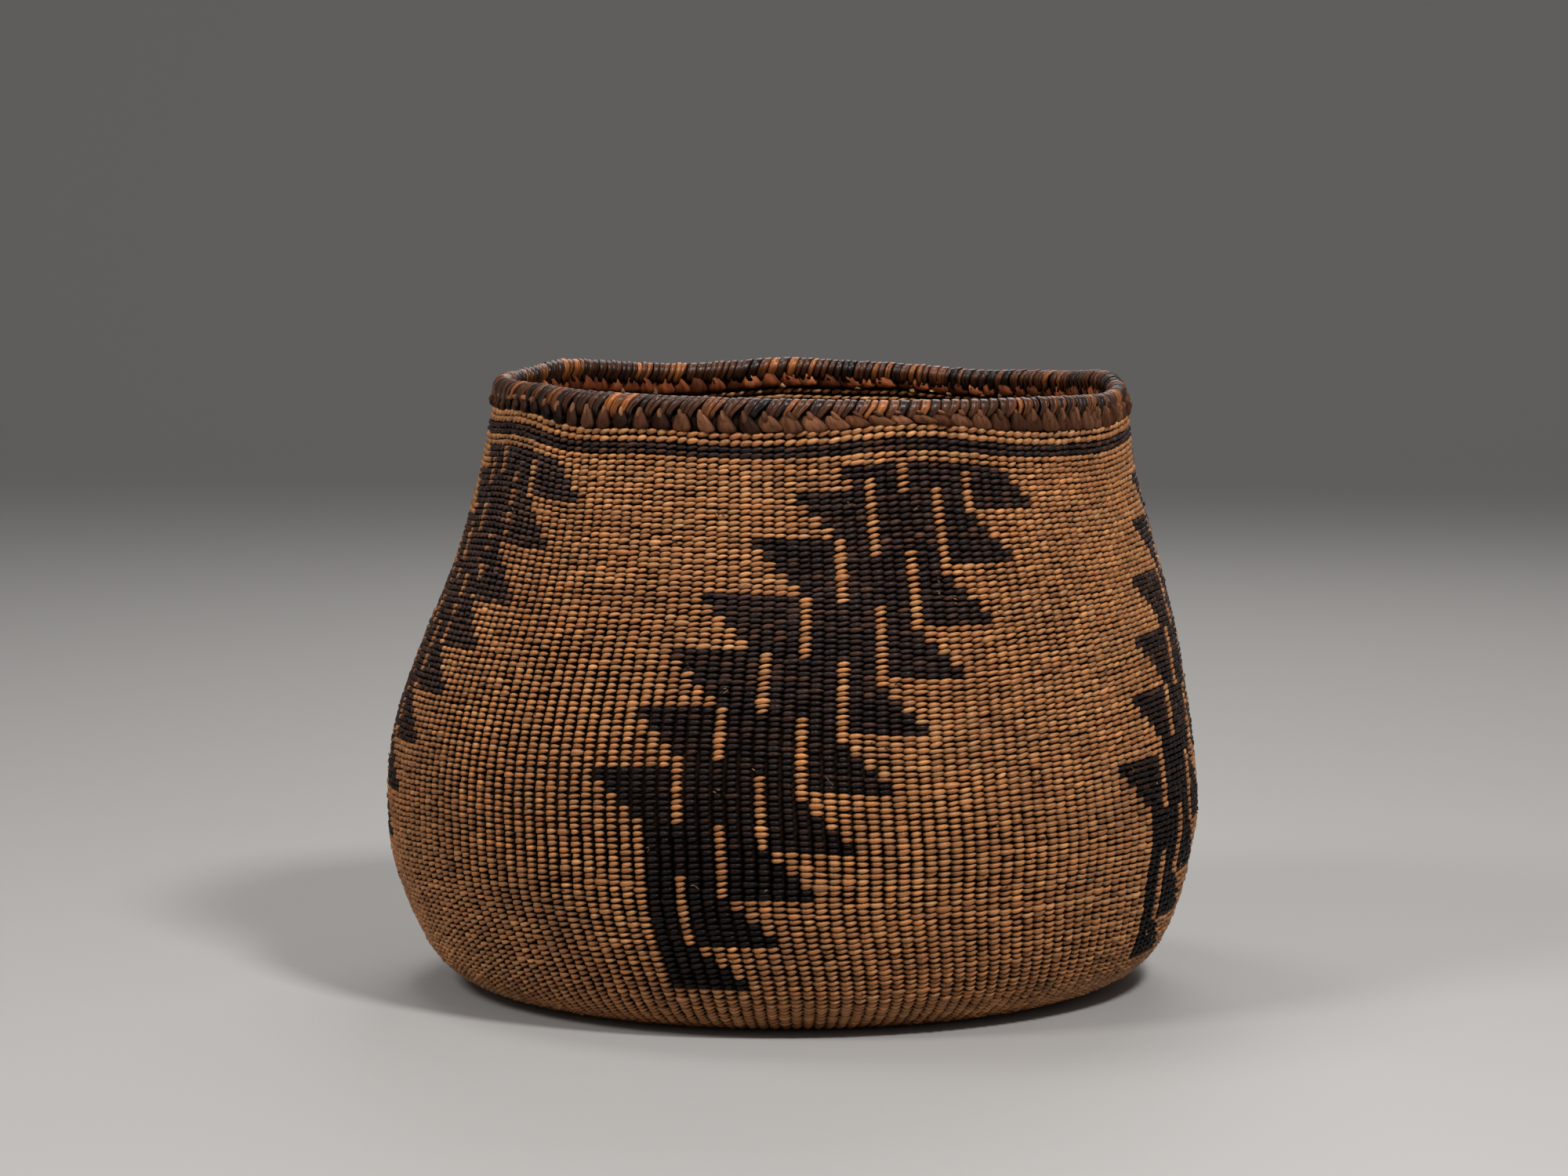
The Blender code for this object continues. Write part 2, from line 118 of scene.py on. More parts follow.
def outer_line():
    """The outer face cut through the axis, as distance down from the rim, radius, height and normal.

    It runs down the wall's cubic, round an elliptic heel, over the resting ring and up a small kick
    to the raised middle. Even steps along it are then averaged with their neighbours.
    """
    heights = np.linspace(RIM_HEIGHT, WALL_HEIGHT_SHARES[0] * RIM_HEIGHT, WALL_POINTS)
    turn = np.linspace(HEEL_SWEEP, 0.0, HEEL_POINTS)[1:]
    reach = (wall_radius(heights[-1]) - REST_OUTER_RADIUS) / math.sin(HEEL_SWEEP)
    rise = heights[-1] / (1 - math.cos(HEEL_SWEEP))
    base_radii = [REST_INNER_RADIUS, RAISED_RADIUS, 0.0]
    base_heights = [0.0, RAISED_HEIGHT, RAISED_HEIGHT]
    radius = np.concatenate([wall_radius(heights), REST_OUTER_RADIUS + reach * np.sin(turn), base_radii])
    height = np.concatenate([heights, rise * (1 - np.cos(turn)), base_heights])
    down = np.concatenate([[0.0], np.cumsum(np.hypot(np.diff(radius), np.diff(height)))])
    even = np.arange(0.0, down[-1], LINE_STEP)
    kernel = np.ones(LINE_SMOOTHING) / LINE_SMOOTHING
    edge = LINE_SMOOTHING // 2
    radius = np.interp(even, down, radius)
    height = np.interp(even, down, height)
    radius[edge:-edge] = np.convolve(radius, kernel, "valid")
    height[edge:-edge] = np.convolve(height, kernel, "valid")
    out, up = np.gradient(radius, LINE_STEP), np.gradient(height, LINE_STEP)
    size = np.hypot(out, up)
    return {"down": even, "radius": radius, "height": height, "n_radius": -up / size, "n_height": out / size}


LINE = outer_line()


def line_at(down, what):
    """The outer face's radius, height or normal, read at a distance down from the rim."""
    return np.interp(down, LINE["down"], LINE[what])


def swell_at(angle, degrees, spread):
    """A swell round the basket: 1 at an angle, falling off on both sides as a Gauss curve does."""
    turn = (angle - math.radians(degrees) + math.pi) % math.tau - math.pi
    return np.exp(-((turn / math.radians(spread)) ** 2))


def smooth_steps(value, low, high):
    """0 below low, 1 above high and an even curve between."""
    t = np.clip((value - low) / (high - low), 0.0, 1.0)
    return t * t * (3 - 2 * t)


def hand_made(angle, radius, height):
    """Moves turned points to where the hand-made wall stands, and gives them as x, y, z.

    The wall leans to +X about the belly and sways a little from side to side on its way up. The heel
    is cut in on the left and sags on the right, and the mouth is a little square, tilted and wavy.
    """
    share = np.maximum(height, 0.0) / RIM_HEIGHT
    out = radius / BELLY_RADIUS
    right = np.maximum(np.sin(angle), 0.0)
    left = np.maximum(-np.sin(angle), 0.0)
    cut = HEEL_CUT * left**1.5 * (1 - smooth_steps(height, *HEEL_CUT_HEIGHTS))
    squared = radius * (1 - cut) - RIM_SQUARENESS * share**2 * np.cos(4 * angle) * out
    sway = SIDE_WAVE * np.cos(math.tau * (height - SIDE_WAVE_TOP) / SIDE_WAVE_LENGTH) * (1 - share**8)
    swayed = sway * out * smooth_steps(height, *SIDE_WAVE_FOOT)
    x = squared * np.sin(angle) + LEAN * (height - BELLY_HEIGHT) + swayed
    y = -squared * np.cos(angle)
    heel = np.clip(height / HEEL_SAG_TOP, 0.0, 1.0)
    sag = HEEL_SAG * right * 4 * heel * (1 - heel) * out**4
    wave = sum(rise * swell_at(angle, degrees, spread) for rise, degrees, spread in RIM_SWELLS)
    z = height - RIM_TILT * share**3 * out * np.sin(angle) - sag + wave * share**6
    return np.stack([x, y, z], axis=-1)


def on_wall(angle, down, out):
    """Points at an angle round the basket, a distance down its face, and a height out from the face."""
    radius = line_at(down, "radius") + out * line_at(down, "n_radius")
    height = line_at(down, "height") + out * line_at(down, "n_height")
    return hand_made(angle, radius, height)


def down_to_radius(radius):
    """Distance down the face at which the base has a radius, read on the part inside the belly."""
    below = LINE["down"] > LINE["down"][np.argmax(LINE["radius"])]
    return np.interp(-radius, -LINE["radius"][below], LINE["down"][below])


def even_turns(count):
    """A full turn cut into even steps, as angles that start from 0."""
    return np.arange(count) * math.tau / count


def strand_faces(rings, sides):
    """Faces of one closed strand: rings of quads, then a fan of triangles to a point at each end.

    Also gives each corner's place on the strand as (along, around), both from 0 to 1. Seen along the
    strand, its sides run anticlockwise, and then the faces point out.
    """
    ring, side = np.indices((rings - 1, sides)).reshape(2, -1, 1)
    ring, side = ring + [0, 1, 1, 0], side + [0, 0, 1, 1]
    quads = ring * sides + side % sides
    places = [np.stack([(ring + 1) / (rings + 1), side / sides], -1).reshape(-1, 2)]
    fans = []
    for end, ring, order in ((0, 0, [0, 0, 1]), (1, rings - 1, [0, 1, 0])):
        side = np.arange(sides)[:, None] + order
        fan = ring * sides + side % sides
        fan[:, 0] = rings * sides + end
        along = [end, (ring + 1) / (rings + 1), (ring + 1) / (rings + 1)]
        around = (side + [0.5, 0.0, 0.0]) / sides
        places.append(np.stack(np.broadcast_arrays(along, around), -1).reshape(-1, 2))
        fans.append(fan)
    return quads, np.concatenate(fans), np.concatenate(places)


def put_in_scene(name, data):
    """Makes an object of a mesh, a lamp or a camera and puts it in the scene."""
    made = bpy.data.objects.new(name, data)
    bpy.context.scene.collection.objects.link(made)
    return made


def strand_piece(name, points, tints, rings, sides):
    """Makes one object of many closed strands.

    points is an array of strand, vertex and x, y, z, each strand's rings in order and then its two
    tips. tints gives a colour for each strand's vertices. Each strand has its own cell of the baking
    map, and the map named strand gives the place along and around it, with a shift for each strand.
    """
    count, corners = points.shape[:2]
    quads, fans, place = strand_faces(rings, sides)
    first = np.arange(count)[:, None, None] * corners
    loops = np.concatenate([(first + quads).reshape(count, -1), (first + fans).reshape(count, -1)], 1)
    sizes = np.tile(np.r_[np.full(len(quads), 4), np.full(len(fans), 3)], count)
    mesh = bpy.data.meshes.new(name)
    mesh.vertices.add(count * corners)
    mesh.vertices.foreach_set("co", points.astype(np.float32).ravel())
    mesh.loops.add(loops.size)
    mesh.loops.foreach_set("vertex_index", loops.astype(np.int32).ravel())
    mesh.polygons.add(len(sizes))
    mesh.polygons.foreach_set("loop_start", np.r_[0, np.cumsum(sizes)[:-1]].astype(np.int32))
    mesh.update(calc_edges=True)
    mesh.shade_smooth()
    across = math.ceil(math.sqrt(count / 2))
    tall = math.ceil(count / across)
    strand = np.arange(count)[:, None]
    cell = np.concatenate([strand % across, strand // across], 1)[:, None, :]
    baking = (cell + CELL_MARGIN + (1 - 2 * CELL_MARGIN) * place) / [across, tall]
    shifted = place + (strand * STRAND_SHIFTS % SHIFT_WRAPS)[:, None, :]
    for layer, uv in (("OFBake", baking), ("strand", shifted)):
        mesh.uv_layers.new(name=layer).data.foreach_set("uv", uv.astype(np.float32).ravel())
    colors = np.ones((count, corners, 4), np.float32)
    colors[..., :3] = tints
    mesh.attributes.new("tint", "FLOAT_COLOR", "POINT").data.foreach_set("color", colors.ravel())
    return put_in_scene(name, mesh)


def strand_finish(name, roughness, gloss, fibre, bump, grime):
    """A finish for plant strands: the piece's tint, streaked with fibres that follow each strand.

    gloss is the shader's specular level, fibre how much the streaks darken the colour, bump how deep
    they are, and grime how much a slow cloud in the basket's own space darkens it.
    """
    material = bpy.data.materials.new(name)
    material.use_nodes = True
    tree = material.node_tree

    def fill(node, **inputs):
        for name, value in inputs.items():
            socket = node.inputs[name.replace("_", " ")]
            if isinstance(value, bpy.types.NodeSocket):
                tree.links.new(value, socket)
            else:
                socket.default_value = value

    def add(kind, output, **inputs):
        node = tree.nodes.new("ShaderNode" + kind)
        fill(node, **inputs)
        return node.outputs[output]

    along = add("UVMap", "UV")
    along.node.uv_map = "strand"
    stretched = add("Mapping", "Vector", Vector=along, Scale=(1.6, 13.0, 1.0))
    streaks = add("TexNoise", "Fac", Vector=stretched, Scale=1.0, Detail=3.0)
    space = add("TexCoord", "Object")
    cloud = add("TexNoise", "Fac", Vector=space, Scale=55.0, Detail=4.0)
    streaked = {"From_Min": 0.3, "From_Max": 0.7, "To_Min": 1.0 - fibre, "To_Max": 1.0 + fibre * 0.4}
    clouded = {"From_Min": 0.35, "From_Max": 0.6, "To_Min": 1.0 - grime, "To_Max": 1.0}
    light = add("Math", "Value")
    light.node.operation = "MULTIPLY"
    tree.links.new(add("MapRange", "Result", Value=streaks, **streaked), light.node.inputs[0])
    tree.links.new(add("MapRange", "Result", Value=cloud, **clouded), light.node.inputs[1])
    tint = add("Attribute", "Color")
    tint.node.attribute_name = "tint"
    color = add("VectorMath", "Vector", Vector=tint)
    color.node.operation = "SCALE"
    fill(color.node, Scale=light)
    rough = add("MapRange", "Result", Value=streaks, To_Min=roughness - 0.12, To_Max=roughness + 0.18)
    relief = add("Bump", "Normal", Height=streaks, Strength=bump, Distance=0.0001)
    shader = tree.nodes["Principled BSDF"]
    fill(shader, Base_Color=color, Roughness=rough, Specular_IOR_Level=gloss, Normal=relief)
    return material


def finish_piece(piece, material, slot, *nodes):
    """Gives a piece its finish, puts it under the root body, and hides the model's parts that it stands for.
    """
    piece.data.materials.append(material)
    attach(piece, "root")
    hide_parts(*nodes)


def stakes():
    """The stakes as flat-sided rods between the two faces, each round of them from where it starts.

    A rod's section is an ellipse, no wider than its share of the way round, and its ends close to a
    point.
    """
    turn = even_turns(STAKE_SIDES)[None, None, :]
    points = []
    for i, (outer, count) in enumerate(WARP_ROUNDS):
        top = STAKE_TOP if i == 0 else down_to_radius(outer) - STAKE_OVERLAP
        inner = WARP_ROUNDS[i + 1][0] if i + 1 < len(WARP_ROUNDS) else START_RADIUS
        bottom = down_to_radius(inner)
        along = np.linspace(top, bottom, STAKE_RINGS)[None, :, None]
        angle = even_turns(count)[:, None, None]
        radius = line_at(along, "radius")
        width = np.minimum(STAKE_HALF_WIDTH, radius * math.pi / count * STAKE_CROWDING)
        shifted = angle + width * np.sin(turn) / radius
        body = on_wall(shifted, along, -WALL_THICKNESS / 2 + STAKE_HALF_DEPTH * np.cos(turn))
        tips = np.array([[top - STAKE_TIP, bottom + STAKE_TIP]])
        ends = on_wall(angle[:, :, 0], tips, -WALL_THICKNESS / 2)
        points.append(np.concatenate([body.reshape(count, -1, 3), ends], 1))
    return np.concatenate(points)


stake_points = stakes()
rng = np.random.default_rng(4)
# Painted shade: each stake is near black, a little lighter or darker at random.
stake_shade = rng.uniform(0.7, 1.3, (len(stake_points), 1, 1)) * WARP_PAINTED_SHADE
peeled_shoot = strand_finish("peeled_shoot", 0.7, 0.04, 0.3, 0.3, 0.2)
piece = strand_piece("stakes", stake_points, stake_shade, STAKE_RINGS, STAKE_SIDES)
finish_piece(piece, peeled_shoot, "peeled_rod", "warp_stakes")


# Twining in straw-coloured root
# Each row is a pair of split roots twisted round one stake after another, so each stake has a
# stitch that leans up to the right, as in a two-ply cord. Rows are packed down hard. Low on the
# belly the stakes stand further apart, and the stitches there are short beads with dark gaps.

ROW_PITCH = 0.0014
ROW_LIFTS = {0: 0.00045, 1: 0.00015}
ROW_DRIFT = 0.025
ROW_RIPPLE = 0.00010
HEEL_DRIFT = 1.3
HEEL_DRIFT_HEIGHTS = (0.006, 0.036)
FIRST_WARP = -0.4
COLLAR_TOP = 0.1415
COLLAR_SWELL = 1.22
WALL_FOOT = 0.012
WALL_ROWS = 96
# A swell of the rows is its rise, its angle and spread in degrees, and its height and reach up the wall.
ROW_SWELLS = (
    (0.0016, -62, 16, 0.125, 0.030), (0.0028, -9, 18, 0.070, 0.035), (0.0014, -30, 14, 0.098, 0.026),
    (0.0024, 75, 20, 0.080, 0.034), (0.0008, 60, 22, 0.060, 0.035), (-0.0009, 22, 12, 0.090, 0.025),
    (-0.0024, -88, 22, 0.060, 0.045), (0.0020, 17, 14, 0.142, 0.030), (-0.0012, -43, 12, 0.142, 0.020),
    (-0.0010, 52, 16, 0.140, 0.020), (-0.0006, -12, 16, 0.140, 0.012), (0.0015, 150, 30, 0.090, 0.050),
    (-0.0015, 215, 25, 0.100, 0.050),
)
SWELLS_FOOT = (0.004, 0.020)
COURSE_ENDS = {
    "collar": 0.1387,
    "band": 0.1359,
    "neck": 0.66 * RIM_HEIGHT,
    "shoulder": 0.42 * RIM_HEIGHT,
    "belly": 0.22 * RIM_HEIGHT,
    "lower_wall": 0.108 * RIM_HEIGHT,
}
BASE_ENDS = {
    "heel": 0.0745,
    "rest_ring": REST_INNER_RADIUS,
    "base_outer": 0.034,
    "base_inner": 0.014,
    "start": 0.0,
}
STITCH_RINGS = np.array([-0.84, -0.46, 0.0, 0.46, 0.84])
STITCH_TURNS = np.radians([36.0, 100.0, 180.0, 260.0, 324.0])
BASE_RINGS = np.array([-0.72, 0.0, 0.72])
BASE_TURNS = np.radians([45.0, 135.0, 225.0, 315.0])
STRAND_DEPTH = 0.00066
# A stitch's shape: its value in a cord, and what being a bead, a lens or a single stitch adds to it.
HALF_LENGTH_SHARES = (0.69, -0.18, 0.07, -0.11)
HALF_HEIGHT_SHARES = (0.480, 0.040, 0.0, 0.0)
CLIMB_SHARES = (0.20, -0.14, 0.06, 0.0)
LEFT_BLUNTNESS = (2.6, 0.0, -0.9, 0.0)
RIGHT_BLUNTNESS = (1.9, 0.0, -0.4, 0.0)
FULLNESS = (0.76, -0.10, 0.0, 0.0)
SINGLE_SWELL = 0.05
FAT_SHARE = 0.025
FAT_SWELL = 0.22
STITCH_BEND = 0.13
DIVE = 0.00036
BEAD_DIVE = 0.00050
LENS_DIVE = 0.00025
DIVE_SIDES = (1.3, 0.8)
DIVE_POWER = 2.2
STITCH_SPREADS = {
    "length": 0.09, "height": 0.050, "depth": 0.08, "bend": 0.06,
    "climb": 0.04, "dive": 0.00004, "up": 0.00007, "out": 0.00008,
}
LENS_DOWN = (0.104, 0.126)
LENS_UNBEADS = 0.6
BEAD_LEAST = 0.15
LEFT_BEADS = 0.25
LEFT_RADII = (0.06, 0.08)
LEFT_BEADS_RISE = 0.040
BEAD_DOWN = (0.045, 0.110)
# Painted shade darkens the stitches towards the heel between these distances down.
LOW_SHADE_DOWN = (0.045, 0.125)
# The tones of a strand are a middle colour and the two that it turns to, here orange and pale.
STRAW_TONES = np.array([[0.575, 0.243, 0.080], [0.425, 0.137, 0.036], [0.700, 0.378, 0.157]])
STRAW_SPREAD = 0.30
# How much painted shade darkens the straw stitches towards the heel.
STRAW_LOW_SHADE = 0.10
TONE_RUN = 9
# Painted shade on the stitches: oranges for bead middles and shaded cord edges, and its darkest factor.
BEAD_ORANGE = np.array([0.05, 0.22, 0.38])
CORD_ORANGE = np.array([0.0, 0.20, 0.32])
STITCH_DARKEST_SHADE = 0.05


def down_to_height(height):
    """Distance down the face to a height on the wall."""
    wall = LINE["height"] > WALL_FOOT
    return np.interp(-height, -LINE["height"][wall], LINE["down"][wall])


def stitch_grid():
    """Every stitch's row, column, angle, distance down and pitch, row by row from the collar in.

    A row has as many stitches as there are stakes at its radius, and the columns drift a little to
    the right from row to row. The top two rows are lifted, as nothing packs them down.
    """
    top = down_to_height(COLLAR_TOP)
    widest = LINE["down"][np.argmax(LINE["radius"])]
    rows = []
    for row in range(int((LINE["down"][-1] - top) / ROW_PITCH)):
        down = top + (row + 0.5) * ROW_PITCH - ROW_LIFTS.get(row, 0.0)
        radius = line_at(down, "radius")
        count = WARP_COUNT
        for outer, fewer in WARP_ROUNDS:
            if down > widest and radius < outer:
                count = fewer
        column = np.arange(count)
        above = smooth_steps(line_at(down, "height"), *HEEL_DRIFT_HEIGHTS)
        drift = ROW_DRIFT * row + HEEL_DRIFT * (1 - above)
        angle = math.tau * (column + 0.5 + FIRST_WARP + drift) / count
        rows.append(np.stack(np.broadcast_arrays(row, column, angle, down, math.tau * radius / count)))
    return np.concatenate(rows, 1)


def course_masks(down):
    """Which stitches are in each course, by where the courses end."""
    ends = {name: down_to_height(height) for name, height in COURSE_ENDS.items()}
    ends.update({name: down_to_radius(radius) for name, radius in BASE_ENDS.items()})
    masks = {}
    start = 0.0
    for name, end in ends.items():
        masks[name] = (down >= start) & (down < end)
        start = end
    return masks


def row_rise(angle, down):
    """How far the rows rise above level: swells where more or fewer rows were packed, and a ripple.

    Each swell is a Gauss curve round the basket times one up the wall. It dies out at the heel.
    """
    height = line_at(down, "height")
    rise = ROW_RIPPLE * np.sin(13 * angle + 61 * down + 2.0) + ROW_RIPPLE * np.sin(7 * angle - 90 * down)
    for peak, degrees, spread, middle, reach in ROW_SWELLS:
        rise = rise + peak * swell_at(angle, degrees, spread) * np.exp(-(((height - middle) / reach) ** 2))
    return rise * smooth_steps(height, *SWELLS_FOOT)


def strand_places(rings, turns, first=0.0, last=1.0):
    """A closed strand's vertices as places along it and turns round it, and which of them are tips.

    The rings come in order and then the two tips, whose places are first and last.
    """
    along = np.concatenate([np.repeat(rings, len(turns)), [first, last]])[None, :]
    turn = np.concatenate([np.tile(turns, len(rings)), [0.0, 0.0]])[None, :]
    tip = np.arange(along.size)[None, :] >= along.size - 2
    return along, turn, tip


def own_spreads(rng, count, spreads):
    """A draw by name: for each strand its own normal difference, as wide as the spread of that name."""
    def vary(what):
        return rng.normal(0.0, spreads[what], (count, 1))
    return vary


def stitch_points(angle, down, pitch, rng, bead, rings, turns, face=1, single=0.0, lens=0.0, tall=1.0):
    """Points of stitches, each a closed spindle: rings of points along it, and two tips.

    Along u from -1 to 1 the middle climbs by a sine and dives between the stakes by a power of u,
    deeper on the left. The section is an ellipse that narrows by a power of u, sooner on the right.
    bead goes from 0, long and slanting as in a cord, to 1, short and level. lens goes from 0, blunt,
    to 1, pointed and as long as the stakes are apart. single is 1 for a single straw stitch among
    dark ones, which is fuller, shorter and pointed. face is 1 outside the wall and -1 inside.
    """
    vary = own_spreads(rng, len(angle), STITCH_SPREADS)
    u, turn, tip = strand_places(rings, turns, -1.0, 1.0)
    bead, single, lens = (np.atleast_1d(value)[:, None] for value in (bead, single, lens))
    lens = np.maximum(lens, single)
    fat = 1 + FAT_SWELL * (rng.random((len(angle), 1)) > 1 - FAT_SHARE)

    def by_kind(shares):
        return shares[0] + shares[1] * bead + shares[2] * lens + shares[3] * single

    size = (1 + SINGLE_SWELL * single) * fat
    length = pitch[:, None] * by_kind(HALF_LENGTH_SHARES) * (1 + vary("length")) * size
    half = ROW_PITCH * (by_kind(HALF_HEIGHT_SHARES) + vary("height")) * size * tall
    depth = STRAND_DEPTH * (1 + vary("depth")) * size
    bent = u + (STITCH_BEND + vary("bend")) * (1 - u**2)
    blunt = np.where(bent < 0, by_kind(LEFT_BLUNTNESS), by_kind(RIGHT_BLUNTNESS))
    full = np.where(tip, 0.0, np.abs(1 - np.abs(bent) ** blunt) ** by_kind(FULLNESS))
    rise = ROW_PITCH * (by_kind(CLIMB_SHARES) + vary("climb"))
    dive = DIVE + (BEAD_DIVE - LENS_DIVE * lens) * bead + np.abs(vary("dive"))
    dive = dive * np.where(u < 0, *DIVE_SIDES)
    up = rise * np.sin(u * math.pi / 2) + half * full * np.sin(turn) + vary("up")
    out = -STRAND_DEPTH - dive * np.abs(u) ** DIVE_POWER + depth * full * np.cos(turn) + vary("out")
    if face < 0:
        out = -WALL_THICKNESS - out
    turned = angle[:, None] + face * length * u / line_at(down, "radius")[:, None]
    return on_wall(turned, down[:, None] - up - row_rise(turned, down[:, None]), out)


def mixed(tones, mix):
    """The middle colour, turned to the first other one where mix is over 0 and else to the second."""
    middle, one, other = tones
    return np.where(mix > 0, middle + (one - middle) * mix, middle + (other - middle) * -mix)


def strand_tones(row, column, rng, tones, spread):
    """Colours of stitches that follow the two strands of each row, plus a little of each stitch's own.

    Each strand's tone wanders along its row, as an average over its neighbours.
    """
    rows, columns = int(row.max()) + 1, int(column.max()) + 1
    kernel = np.ones(TONE_RUN) / math.sqrt(TONE_RUN)

    def strand_noise():
        wild = rng.normal(0.0, 1.0, (rows, 2, columns + TONE_RUN - 1))
        return np.apply_along_axis(np.convolve, 2, wild, kernel, "valid")

    row, column = row.astype(int), column.astype(int)
    pick = strand_noise()[row, column % 2, column]
    bright = strand_noise()[row, column % 2, column]
    own = rng.normal(0.0, 1.0, (2, len(row)))
    mix = np.clip(spread * (0.7 * pick + 0.5 * own[0]), -1.0, 1.0)[:, None]
    return mixed(tones, mix) * np.exp(0.08 * bright + 0.15 * own[1])[:, None]


def painted_strand_shade(rings, turns, bead, deepest):
    """Painted shade over each stitch's vertices: darker at its back, underside and tips, where shade falls.

    The underside is painted darker than the top, as under a light from above, and the tips are darker
    on beads than in a cord. A bead is painted oranger in the middle of its face, which leaves its edges
    paler as if lit, and a cord's stitch oranger where it is painted in shade at its edges. deepest is the
    factor where the painted shade is darkest.
    a cord's stitch at its edges. deepest is the factor where the soot is thickest.
    """
    u, turn, tip = strand_places(rings, turns, -1.0, 1.0)
    turn = np.where(tip, math.pi, turn)
    bead = np.atleast_1d(bead)[:, None]
    front = np.clip(0.25 + 0.08 * bead + 0.66 * np.cos(turn) + 0.33 * np.sin(turn), 0.0, 1.0)
    crown = (1 - (0.85 + 0.12 * bead) * np.abs(u) ** 3.0) * (0.03 + 0.97 * front)
    core = np.clip(1 - np.abs(u) * 1.4, 0.0, 1.0) * np.clip(np.cos(turn), 0.0, 1.0)
    hue = 1 - (core * bead)[..., None] * BEAD_ORANGE
    hue = hue * (1 - ((1 - crown) * (1 - bead))[..., None] * CORD_ORANGE)
    return (deepest + (1 - deepest) * crown)[..., None] * hue


def bead_share(angle, down):
    """How far stitches are beads and not cord: more with the distance down, and more at -X."""
    left = -np.sin(angle) * smooth_steps(line_at(down, "radius"), *LEFT_RADII)
    most = 1 - BEAD_LEAST + LEFT_BEADS * np.maximum(left, 0.0)
    return BEAD_LEAST + most * smooth_steps(down + LEFT_BEADS_RISE * left, *BEAD_DOWN)


def stitches_for(name, mask, rng, tones, spread, material, slot, *nodes, tall=1.0, fade=0.0, plain=False):
    """Makes one piece of the outer stitches in a mask. Plain ones, under the base, have fewer faces.

    tall is their height against other rows', and the next argument how much darker they are painted
    from neck to heel, as shade.
    """
    row, column, angle, down, pitch = grid[:, mask]
    single = flights[mask] < 0
    bead = bead_share(angle, down)
    lens = smooth_steps(down, *LENS_DOWN)
    rings, turns = (BASE_RINGS, BASE_TURNS) if plain else (STITCH_RINGS, STITCH_TURNS)
    points = stitch_points(angle, down, pitch, rng, bead, rings, turns, 1, single, lens, tall)
    shade = painted_strand_shade(rings, turns, bead * (1 - LENS_UNBEADS * lens), STITCH_DARKEST_SHADE)
    # Painted shade: the stitches get darker from the neck down to the heel.
    left = 1 - fade * smooth_steps(down, *LOW_SHADE_DOWN)
    tint = strand_tones(row, column, rng, tones, spread)[:, None, :] * shade * left[:, None, None]
    made = strand_piece(name, points, tint, len(rings), len(turns))
    finish_piece(made, material, slot, *nodes)


grid = stitch_grid()
courses = course_masks(grid[3])

# Where the dark flights run. Rows count down from the collar, and columns to the right from the
# column of each flight. A delay moves a wing down by so many rows, in the order of the flights.
FLIGHT_NAMES = ("front", "right", "back", "left")
FLIGHT_COLUMNS = (0, 42, 95, 147)
FLIGHT_TOP = 6
FLIGHT_SHIFT = 3
FLIGHT_TIP = 21
ROWS_PER_STEP = 2
WING_STEPS = 4
RIGHT_WING_BOTTOMS = np.array([13, 22, 32, 41, 51, 61, 71, 79, 87, 95])
LEFT_WING_TOPS = np.array([6, 10, 18, 28, 38, 48, 58])
LEFT_WING_END = -16
LEFT_WING_REACH = np.array([-1, 0, 1, 2, 1, 0, 0])
WING_DELAYS = np.array([
    [0, 0, 0, 0, 0, 0, 0, 0, 0, 0], [0, 0, 0, 0, 1, 1, 2, 2, 1, 0],
    [0, 0, 1, 1, 0, 0, 1, 1, 0, 0], [0, 0, 0, -1, -3, -4, -5, -4, -2, 0],
])
# Lines of single straw stitches: how far in from a wing's end, and from which row to which.
RIGHT_LINE_IN = 7
RIGHT_LINE_ROWS = (6, 12, 12, 12, 12, 12, 12, 12, 12)
LEFT_LINE_IN = 6
LEFT_LINE_ROWS = ((0, 5), (2, 11), (0, 11), (0, 11), (0, 11), (0, 9), (0, 9))
COVERED_SHARE = 0.25
COVERED_SIDE = -0.75
WORN_COLUMN = 40
WORN_ROWS = (56, 64)


def dark_flights(row, column):
    """Which stitches are in a flight, numbered from 1, with its single straw stitches as -1.

    A flight's wings step in by one stake in two rows on both sides, and lines of single straw
    stitches run down inside it.
    """
    wings = np.arange(len(LEFT_WING_TOPS))
    tips = FLIGHT_TIP - FLIGHT_SHIFT * np.arange(len(RIGHT_WING_BOTTOMS))
    starts = LEFT_WING_END + FLIGHT_SHIFT * wings[::-1] - LEFT_WING_REACH
    inside = np.zeros(row.shape, int)
    for number, (first, delays) in enumerate(zip(FLIGHT_COLUMNS, WING_DELAYS)):
        bottoms = RIGHT_WING_BOTTOMS + delays
        tops = LEFT_WING_TOPS + delays[wings]
        wing = np.minimum(np.searchsorted(bottoms, row, side="right"), len(bottoms) - 1)
        right = tips[wing] - np.minimum((bottoms[wing] - 1 - row) // ROWS_PER_STEP, WING_STEPS)
        wing = np.clip(np.searchsorted(tops, row, side="right") - 1, 0, wings[-1])
        left = starts[wing] + np.minimum((row - tops[wing]) // ROWS_PER_STEP, WING_STEPS)
        u = (column - first + WARP_COUNT // 2) % WARP_COUNT - WARP_COUNT // 2
        within = (row >= FLIGHT_TOP) & (row < bottoms[-1]) & (u >= left) & (u < right)
        single = np.zeros(row.shape, bool)
        for tip, bottom, rows in zip(tips, bottoms, RIGHT_LINE_ROWS):
            single |= (u == tip - RIGHT_LINE_IN) & (row >= bottom - rows) & (row < bottom)
        for start, top, (above, below) in zip(starts + LEFT_WING_REACH, tops, LEFT_LINE_ROWS):
            single |= (u == start + LEFT_LINE_IN) & (row >= top - above) & (row < top + below)
        inside[within] = number + 1
        inside[within & single] = -1
    return inside


